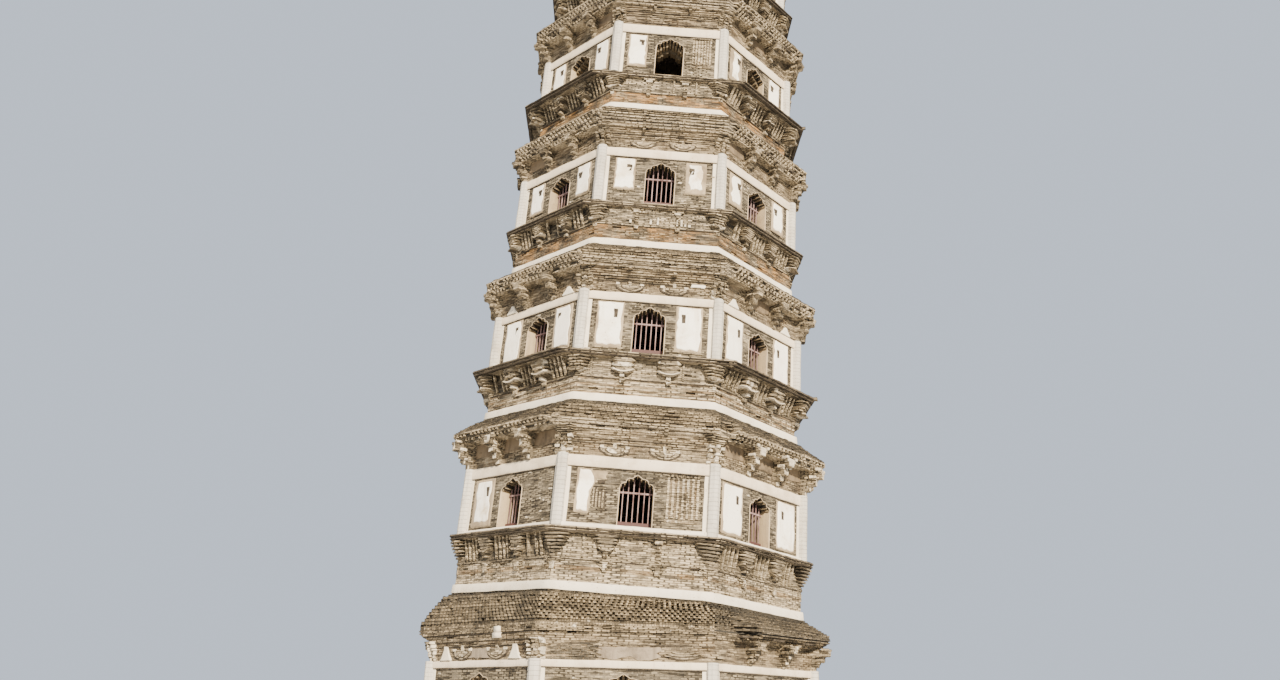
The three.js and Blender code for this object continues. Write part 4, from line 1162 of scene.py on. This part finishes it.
# A lining: a section of (away from the opening, out of the wall) points carried round the cusped outline.
def buildWindows(storey, seed):
    look, half, foot, top, wall = windowLook, storey.doorHalf, storey.doorFoot, storey.doorTop, storey.out
    barred = storey.name in look["barred"]
    path = doorPath(storey)
    step = np.roll(path, -1, axis=0) - np.roll(path, 1, axis=0)
    step /= np.linalg.norm(step, axis=1, keepdims=True)
    e, p, i, deep = look["edge"], look["edgeProud"], look["inset"], storey.back
    section = np.array([(e + 0.006, -0.01), (e, p * 0.8), (e * 0.4, p), (-i * 0.5, p * 0.9), (-i, -0.004),
                        (-i, -0.12), (-i, -0.5), (-i, 0.01 - deep), (-i * 0.5, -0.008 - deep),
                        (e, -0.006 - deep), (e, 0.02 - deep), (0.03, -0.3)])
    shade = np.array([0.2, 0.25, 0.25, 0.2, 0.1, 0.0, 0.0, 0.1, 0.3, 0.3, 0, 0])
    away, depth = section[:, :1], section[:, 1:]
    linings, bars = Heap(storey), Heap(storey)
    n, m, face = len(section), len(path), faces[:, None, None]
    a = away + 0.004 * softNoise(np.arange(m) * 0.7 + face * 9, np.arange(n)[:, None] * 0.8, seed)
    along, up = path[:, 0] + a * step[:, 1], path[:, 1] - a * step[:, 0]
    points = leaned(place(face * turn, along, wall + depth, up), storey.lean)
    quads = gridQuads(n, m, closeRows=True, closeCols=True)[:, :, ::-1] + face[:, None] * n * m
    # the head and the far end of the way through turn near-black: painted shade
    vaulted = (path[:, 1] > top - 0.86 * tower["doorRise"]) * 1.0
    tone = 0.5 + 0.5 * np.clip(vaulted * np.where(depth < 0.0, 1.0, 0.35) + (depth < -0.25) * 0.8, 0, 1)
    linings.add(points, quads, lime=np.broadcast_to(shade[:, None], along.shape), tone=np.broadcast_to(tone,
                                                                                                       along.shape))
    # corbelled ribs along the underside of the head, drawn back row behind row in the open doorways, near-black:
    # painted shade
    for number, (start, stop, drop) in enumerate(look["barredRibs" if barred else "ribRows"]):
        face, share = pairs(faces, look["ribPlaces"])
        head = headHeight(storey, share * half)
        blocks(linings, face * turn, around(share * (half - drop * 0.6), look["ribWidth"] / 2 + drop * 0.25),
               (wall - stop, wall - start), (head - look["ribDrop"] - drop, head + 0.012), seed + 7 + number, 0.0,
               0.80 + 0.19 * number / 3)
    linings.piece("windowLinings", revealPlaster, "plaster")
    if not barred:
        return
    at, width, number = wall - look["barDepth"], look["barWidth"], look["bars"]
    face, spot = pairs(faces, (np.arange(number) - (number - 1) / 2) * (2 * half / (number + 0.4)))
    blocks(bars, face * turn, around(spot, width / 2), (at - width, at), (foot - 0.01, headHeight(storey, spot)),
           seed + 1, 0.9, 0.5, 0.002)
    rail = foot + 0.685 * (top - foot)
    for number, (more, low, high, lime) in enumerate(((0.0, rail, rail + 0.030, 1.0),
                                                      (0.004, foot - 0.01, foot + 0.145, 0))):
        blocks(bars, faces * turn, (-half, half), (at - width - 0.006 - more, at + 0.008 + more), (low, high),
               seed + 2 + number, lime, 0.5, 0.002)
    bars.piece("windowBars", barPaint, "plaster")


# Panels either side of a doorway: near and far ends along the face, foot and head as shares of the wall's height.
panelSpans = {
    "storey2": (0.50, 1.10, 0.12, 0.97),
    "storey3": (0.48, 1.00, 0.12, 0.98),
    "storey4": (0.50, 0.93, 0.30, 0.97),
    "storey5": (0.48, 0.90, 0.20, 0.97),
    "storey6": (0.46, 0.84, 0.14, 0.97),
    "storey7": (0.44, 0.76, 0.14, 0.97),
}
panelLook = {                # each place is a storey, a face and the side of its doorway
    "lattice": {("storey2", 0, 1), ("storey5", 0, 1), ("storey2", 4, 1), ("storey5", 4, -1)},
    "bare": {("storey2", 7, 1), ("storey2", 3, -1)},
    "decayed": {("storey5", 1, -1), ("storey4", 0, 1), ("storey2", 7, -1)},
    "fallen": ("storey2", 0, -1),
}
fallenLook = {               # what is left of the panel that has mostly fallen
    "left": [-1.07, -1.07, -1.06, -1.06, -1.06],
    "right": [-0.80, -0.79, -0.79, -0.69, -0.79],
    "foot": 0.235,
    "coat": (-0.82, -0.52, 0.80, 0.95),      # first coat left beside it
    "ribs": (-0.74, 0.056, 4),               # first one, spacing and number
    "ribSpan": (0.34, 0.60),
    "hole": (-0.68, -0.56, 0.745, 0.80),
}
looseLook = {"number": 150, "proud": (0.003, 0.013), "rise": 0.030, "length": (0.06, 0.15)}


# Bricks standing out of a wall: each lies on a course, at a chance place along its face clear of the doorway.
def buildLooseBricks(storey, seed):
    name, floor, under, half, top = storey.name, storey.floor, storey.under, storey.doorHalf, storey.doorTop
    halfFace = storey.width / 2 - 0.10
    face, item = pairs(faces, np.arange(looseLook["number"]))
    courses = int((under - floor) / courseHeight) - 1
    up = floor + 0.01 + courseHeight * np.floor(courses * chance(item, face, seed))
    along = (2 * chance(item, face, seed + 1) - 1) * halfFace
    short, long = looseLook["length"]
    length = short + (long - short) * chance(item, face, seed + 2)
    inner, outer = around(np.abs(along), length / 2)
    clear = np.where(up < top - 0.2, half + 0.03, half + 0.03 - 0.8 * (up - top + 0.2))
    keep = ((inner > np.maximum(clear, 0.02)) | (up > top + 0.01)) & (outer < halfFace)
    if name in panelSpans:
        near, far, lowShare, highShare = panelSpans[name]
        height = (up - floor) / (under - floor)
        over = (outer > near - 0.02) & (inner < far + 0.02)
        over &= (height > lowShare - 0.06) & (height < highShare + 0.02)
        for bareStorey, bareFace, sign in panelLook["bare"]:
            over &= (name != bareStorey) | (face != bareFace) | (along * sign <= 0)
        keep &= ~over
    face, up, along, length = face[keep], up[keep], along[keep], length[keep]
    least, most = looseLook["proud"]
    out = storey.out + least + (most - least) * chance(along * 90, face, seed + 3) ** 2
    heap = Heap(storey)
    blocks(heap, face * turn, around(along, length / 2), (storey.out - 0.01, out), (up, up + looseLook["rise"]),
           seed + 4, 0.55 * chance(along * 70, face, seed + 5))
    heap.piece("looseBricks", wallCourses, "brick")


# Panels either side of a window, white strips along the posts, putlog holes in the panels, and the ribbed lattice
# where a panel has lost its plaster.
def buildWallFinish(storey, seed):
    name, floor, under, wall = storey.name, storey.floor, storey.under, storey.out
    tall = under - floor
    strips, panels, firstCoat, holes, ribs = (Heap(storey) for _ in range(5))
    postEdge = storey.width / 2 - 0.098
    places = [(face, sign) for face in faces for sign in (-1, 1)]
    for face, sign in places:
        inner, outer = sorted((sign * (postEdge - frameLook["stripWidth"]), sign * (postEdge + 0.03)))
        plasterSkin(strips, face, inner, outer, floor + 0.002, under + 0.01, 0.008, seed + face * 3 + sign, 0.010,
                    0.5, (13, 6))
    strips.piece("whiteStrips", bandPlaster, "plaster", smooth=True)
    if name not in panelSpans:
        return
    near, far, low, high = panelSpans[name]
    slim = name in ("storey2", "storey3")
    for face, sign in places:
        here, angle = (name, face, sign), face * turn
        leftEdge, rightEdge = sorted((sign * near, sign * far))
        if here in panelLook["lattice"]:
            buildLattice(ribs, face, leftEdge, rightEdge, floor + low * tall, floor + high * tall, seed + face)
        if here in panelLook["lattice"] | panelLook["bare"]:
            continue
        fallen, decayed = here == panelLook["fallen"], here in panelLook["decayed"]
        shelf, panelFoot = floor + low * tall, floor + (fallenLook["foot"] if fallen else low) * tall
        if not fallen:
            middle, drop = sign * (near + (far - near) * 0.30), 0.05 * chance(face, sign, seed + 6)
            blocks(ribs, angle, (leftEdge - 0.02, rightEdge + 0.02), (wall - 0.01, wall + 0.020),
                   (shelf - 0.030, shelf - 0.010), seed + 80 + face, 0.3)
            # a putlog hole: a dark box, painted as the shade of its inside
            holeFoot, holeHead = floor + (0.72 - drop - 0.03 * slim) * tall, floor + (0.84 - drop) * tall
            half, more, less = (0.034, 0.006, 0.004) if slim else (0.040, 0.020, 0.016)
            blocks(holes, angle, ([middle - half, middle - half - more], [middle + half, middle + half + less]),
                   (wall - 0.01, wall + 0.021), ([holeFoot, holeHead - 0.05], [holeHead, holeHead + 0.012]),
                   seed + 70 + face, loose=0.008)
        else:
            leftEdge, rightEdge = np.array(fallenLook["left"]), np.array(fallenLook["right"])
        # the tan first coat, then the white one that has peeled back from its edges
        clean = 0.0 if decayed else 0.25 + 0.6 * chance(face, sign + 3, seed)
        peel = 0.085 if decayed else 0.012 + 0.05 * chance(face, sign + 7, seed) ** 2
        plasterSkin(firstCoat, face, leftEdge, rightEdge, panelFoot, floor + high * tall, 0.012,
                    seed + 150 + face * 5 + sign, 0.010, 0.05)
        bend = peel * (0.5 + chance(np.arange(5), face + sign, seed + 4))
        plasterSkin(panels, face, leftEdge + bend, rightEdge - bend[::-1], panelFoot + peel,
                    floor + high * tall - 0.5 * peel, 0.045, seed + 50 + face * 5 + sign, 0.016, clean, (13, 10))
        if fallen:
            start, end, foot, head = fallenLook["coat"]
            plasterSkin(firstCoat, face, start, end, floor + foot * tall, floor + head * tall, 0.03, seed + 74,
                        0.012, 0.0)
            first, spacing, number = fallenLook["ribs"]
            rib, (foot, head) = first + spacing * np.arange(number), fallenLook["ribSpan"]
            blocks(ribs, angle, around(rib, 0.014), (wall - 0.01, wall + 0.020),
                   (floor + foot * tall, floor + (head + 0.05 * chance(np.arange(number), 1, seed)) * tall),
                   seed + 72, 0.25, 0.2, 0.004)
            # dark strips between the ribs and a dark hole beside them: painted shade
            blocks(holes, angle, (rib + 0.017, rib + 0.045), (wall - 0.01, wall + 0.004),
                   (floor + foot * tall, floor + (head + 0.02) * tall), seed + 73, loose=0.004)
            start, end, foot, head = fallenLook["hole"]
            blocks(holes, angle, (start, end), (wall - 0.01, wall + 0.016), (floor + foot * tall,
                                                                             floor + head * tall),
                   seed + 71, loose=0.010)
    panels.piece("plasterPanels", panelPlaster, "plaster", smooth=True)
    firstCoat.piece("firstCoat", tanPlaster, "plaster", smooth=True)
    holes.piece("putlogHoles", paintedShadeDark, "brick")
    ribs.piece("latticeRibs", courseBrick, "brick")
    if name == "storey2":
        sill = Heap(storey)
        smoothRing(sill, [(-0.02, floor), (0.045, floor), (0.050, floor + 0.02), (0.045, floor + 0.065),
                          (0.020, floor + 0.085), (-0.02, floor + 0.090)],
                   {**whiteLook, "grain": 3.0, "edge": 0.006}, seed + 90)
        sill.piece("whiteSill", bandPlaster, "plaster", smooth=True)


# Seven upright ribs of brick with dark gaps between them, painted shade, dentils over them and a shelf below.
def buildLattice(heap, face, start, end, low, high, seed):
    angle, out = face * turn, heap.storey.out
    spot, dentil = (start + (end - start) * (np.arange(number) + 0.5) / number for number in (7, 9))
    gap = start + (end - start) * np.arange(1, 7) / 7
    foot = low + 0.3 * (high - low) * 0.5
    for number, along, proud, bottom, top, lime, tone, loose in (
            (0, around(spot, 0.020), 0.024, foot + 0.03 * chance(np.arange(7), 2, seed), high - 0.06, 0.40, 0.05,
             0.004),
            (3, around(gap, 0.014), 0.004, foot, high - 0.07, -0.22, 0.6, 0.004),
            (1, around(dentil, 0.020), 0.035, high - 0.035, high, 0.3, 0.5, 0.003),
            (2, (start, end), 0.018, foot - 0.06, foot - 0.02, 0.4, 0.55, 0.003)):
        blocks(heap, angle, along, (out - 0.01, out + proud), (bottom, top), seed + number, lime, tone, loose)


for level, storey in enumerate(storeys):
    buildBrackets(storey, 100 + 10 * level)
    buildFrame(storey, 300 + 10 * level)
    buildWindows(storey, 400 + 10 * level)
    buildWallFinish(storey, 500 + 10 * level)
    buildLooseBricks(storey, 600 + 10 * level)
print("brackets, posts, windows and plaster ready")

# finishes of the carried-over pieces, by the last word of their names
finishes = {"floor": pavedFloor, "roof": roofBrick, "wall": wallBrick, "base": wallBrick, "stump": wallBrick}
for name, node in nodes.items():
    finish = finishes.get(name.split("_")[-1])
    if finish:
        node.data.materials.clear()
        node.data.materials.append(finish)

stageLook = {
    "floorColour": (0.72, 0.70, 0.66),
    "floorSize": 400.0,
    "sunFrom": (16.0, 27.0),          # degrees from the front towards the right, degrees up
    "sunPower": 14.4,
    "sunColour": (1.0, 0.86, 0.65),
    "sunSoft": 4.0,                   # degrees
    "skyColour": (0.62, 0.70, 0.82),
    "skyPower": 1.15,
}
size = stageLook["floorSize"] / 2
floorMesh = bpy.data.meshes.new("paleFloor")
floorCorners = [(x * size, y * size, -0.002) for x, y in ((-1, -1), (1, -1), (1, 1), (-1, 1))]
floorMesh.from_pydata(floorCorners, [], [(0, 1, 2, 3)])
floorMesh.materials.append(Paint("palePaint", 0.9).finish(stageLook["floorColour"]))
paleFloor = bpy.data.objects.new("paleFloor", floorMesh)
bpy.context.scene.collection.objects.link(paleFloor)

world = bpy.data.worlds.new("paleSky")
world.use_nodes = True
sky = world.node_tree.nodes["Background"].inputs
sky["Color"].default_value = (*stageLook["skyColour"], 1)
sky["Strength"].default_value = stageLook["skyPower"]
bpy.context.scene.world = world

sun = bpy.data.lights.new("sun", "SUN")
sun.energy = stageLook["sunPower"]
sun.color = stageLook["sunColour"]
sun.angle = math.radians(stageLook["sunSoft"])
sunObject = bpy.data.objects.new("sun", sun)
fromSide, fromHeight = (math.radians(v) for v in stageLook["sunFrom"])
toSun = Vector((math.sin(fromSide) * math.cos(fromHeight), -math.cos(fromSide) * math.cos(fromHeight),
                math.sin(fromHeight)))
sunObject.rotation_euler = toSun.to_track_quat("Z", "Y").to_euler()
bpy.context.scene.collection.objects.link(sunObject)

cameraLook = {
    "place": (-0.160, -19.350, 1.830),
    "heading": -1.03,                 # degrees to the left of +Y
    "pitch": 21.57,
    "roll": 1.45,
    "lens": 26.61,
}
heading, pitch, roll = (math.radians(cameraLook[key]) for key in ("heading", "pitch", "roll"))
level = Vector((-math.sin(heading), math.cos(heading), 0))
levelRight = Vector((math.cos(heading), math.sin(heading), 0))
ahead = level * math.cos(pitch) + Vector((0, 0, math.sin(pitch)))
upward = Vector((0, 0, math.cos(pitch))) - level * math.sin(pitch)
right = levelRight * math.cos(roll) + upward * math.sin(roll)
up = upward * math.cos(roll) - levelRight * math.sin(roll)
cameraData = bpy.data.cameras.new("camera")
cameraData.lens = cameraLook["lens"]
cameraData.sensor_width = 36.0
camera = bpy.data.objects.new("camera", cameraData)
camera.matrix_world = Matrix((right, up, -ahead)).transposed().to_4x4()
camera.matrix_world.translation = cameraLook["place"]
bpy.context.scene.collection.objects.link(camera)
bpy.context.scene.camera = camera
print("stage ready")

bpy.context.view_layer.update()
